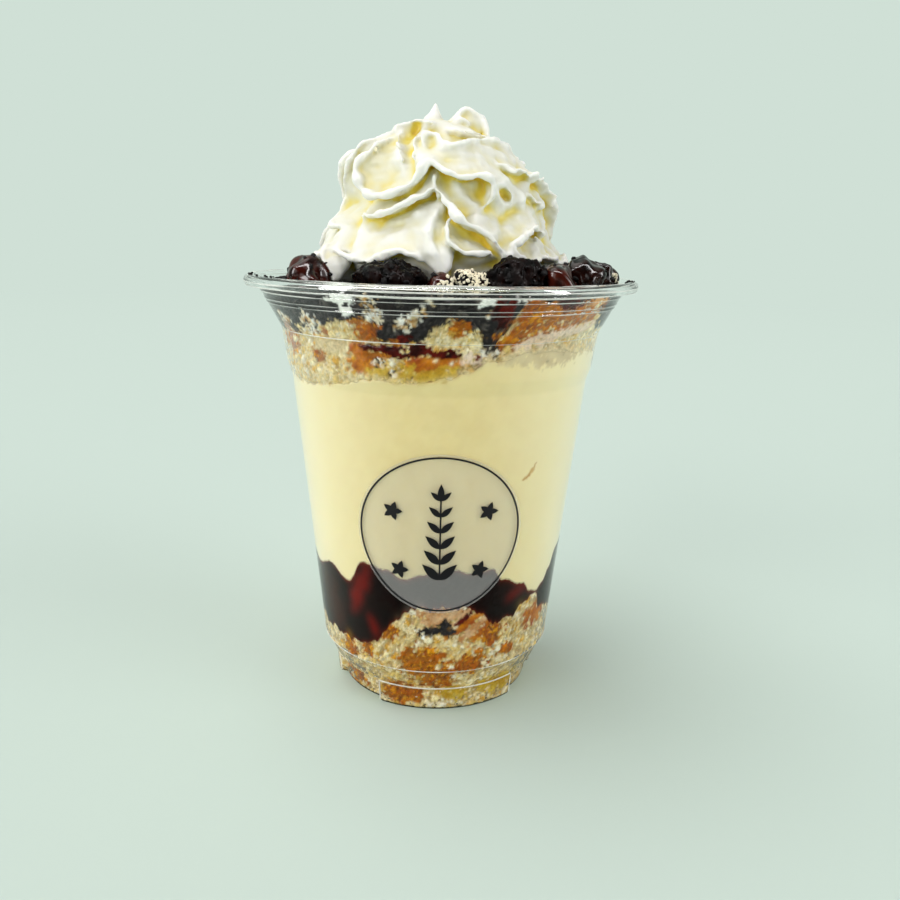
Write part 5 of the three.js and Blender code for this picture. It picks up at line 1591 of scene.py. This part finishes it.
def printTree():
    # ring, sprig and blossoms of the label, flat; a blossom stands on each point that the tree is given
    tree, given, made = newGrower("label_print", {
        "Ring Radius": 0.0185, "Ring Width": 0.0004, "Stem From": -0.01, "Stem To": 0.008,
        "Stem Width": 0.0004, "Pairs": 6, "Leaf Length": 0.005, "Leaf Width": 0.002, "Lean": 48.0,
        "Petals": 5, "Petal Length": 0.002, "Petal Width": 0.001})
    circle = addNode(tree, "GeometryNodeCurvePrimitiveCircle", {
        "Resolution": 160, "Radius": given["Ring Radius"]})
    across = addNode(tree, "GeometryNodeCurvePrimitiveLine", {
        "Start": addVector(tree, X=addMath(tree, "MULTIPLY", given["Ring Width"], -0.5)),
        "End": addVector(tree, X=addMath(tree, "MULTIPLY", given["Ring Width"], 0.5))})
    ring = addNode(tree, "GeometryNodeCurveToMesh", {
        "Curve": circle.outputs[0], "Profile Curve": across.outputs[0]})
    head = addVector(tree, Y=given["Stem To"])
    stem = addNode(tree, "GeometryNodeCurvePrimitiveLine", {
        "Start": addVector(tree, Y=given["Stem From"]), "End": head})
    nodes = addNode(tree, "GeometryNodeCurveToPoints", {"Curve": stem.outputs[0], "Count": given["Pairs"]})
    leaf = leafNodes(tree, given["Leaf Length"], given["Leaf Width"])
    petal = leafNodes(tree, given["Petal Length"], given["Petal Width"])
    # leaves get smaller towards the tip
    index = addNode(tree, "GeometryNodeInputIndex").outputs[0]
    run = addMath(tree, "DIVIDE", index, addMath(tree, "SUBTRACT", given["Pairs"], 1.0))
    size = addMath(tree, "SUBTRACT", 1.0, addMath(tree, "MULTIPLY", run, 0.45))
    parts = [ring]
    for side in (1.0, -1.0):
        lean = addMath(tree, "RADIANS", addMath(tree, "MULTIPLY_ADD", given["Lean"], side, 90.0))
        parts.append(addInstances(tree, nodes.outputs["Points"], leaf, Rotation=addVector(tree, Z=lean),
                                  Scale=size))
    top = addNode(tree, "GeometryNodePoints", {"Count": 1, "Position": head})
    parts.append(addInstances(tree, top.outputs[0], leaf, Rotation=(0.0, 0.0, math.pi / 2),
                              Scale=(0.7, 0.7, 0.7)))
    strip = addNode(tree, "GeometryNodeMeshGrid", {
        "Size X": given["Stem Width"], "Vertices X": 2, "Vertices Y": 24,
        "Size Y": addMath(tree, "SUBTRACT", given["Stem To"], given["Stem From"])})
    middle = addMath(tree, "MULTIPLY", addMath(tree, "ADD", given["Stem To"], given["Stem From"]), 0.5)
    parts.append(addNode(tree, "GeometryNodeTransform", {
        "Geometry": strip.outputs[0], "Translation": addVector(tree, Y=middle)}))
    spot = addNode(tree, "GeometryNodePoints", {"Count": given["Petals"]})
    spin = addMath(tree, "MULTIPLY", addMath(tree, "DIVIDE", index, given["Petals"]), 2 * math.pi)
    blossom = addInstances(tree, spot.outputs[0], petal, Rotation=addVector(tree, Z=spin))
    parts.append(addInstances(tree, given["Geometry"], blossom))
    joined = addNode(tree, "GeometryNodeJoinGeometry")
    for part in reversed(parts):
        tree.links.new(part.outputs[0], joined.inputs[0])
    real = addNode(tree, "GeometryNodeRealizeInstances", {"Geometry": joined.outputs[0]})
    merged = addNode(tree, "GeometryNodeMergeByDistance", {
        "Geometry": real.outputs[0], "Distance": 0.000002})
    return endGrower(tree, given, made, merged)


def makePrint():
    ink = inkMaterial()
    spots = makePiece("blossom_spots", [(x, y, 0) for x, y in label["blossoms"]], [], ink)
    stemFrom, stemTo = label["stem"]
    values = {
        "Ring Radius": label["width"] - label["ringInset"] - label["ring"] / 2, "Ring Width": label["ring"],
        "Stem From": stemFrom, "Stem To": stemTo, "Stem Width": label["stemWidth"],
        "Leaf Length": label["leafLength"], "Leaf Width": label["leafWidth"],
        "Petal Length": label["petalLength"], "Petal Width": label["petalWidth"]}
    values = {key: value * mm for key, value in values.items()}
    values.update({"Pairs": label["pairs"], "Lean": float(label["lean"]), "Petals": label["petals"],
                   "Material": ink})
    piece = growPiece(spots, printTree(), values, "label_print")
    flat, faces, _ = meshArrays(piece.data)
    bpy.data.objects.remove(piece)
    points = []
    for out in (label["gap"], label["ink"]):
        points.append(ontoWall(flat[:, 0], flat[:, 1], label["thickness"] + out))
    count = len(flat)
    # the same faces above and below, and walls along the open edges
    corners = [(face[i], face[(i + 1) % len(face)]) for face in faces for i in range(len(face))]
    inner = set(corners)
    solid = [[corner + count for corner in face] for face in faces] + [face[::-1] for face in faces]
    solid += [[a, b, b + count, a + count] for a, b in corners if (b, a) not in inner]
    made = makePiece("label_print", np.concatenate(points), solid, ink, smooth=False)
    return finished(made)


makeLabel()
makePrint()
print("label stuck on")
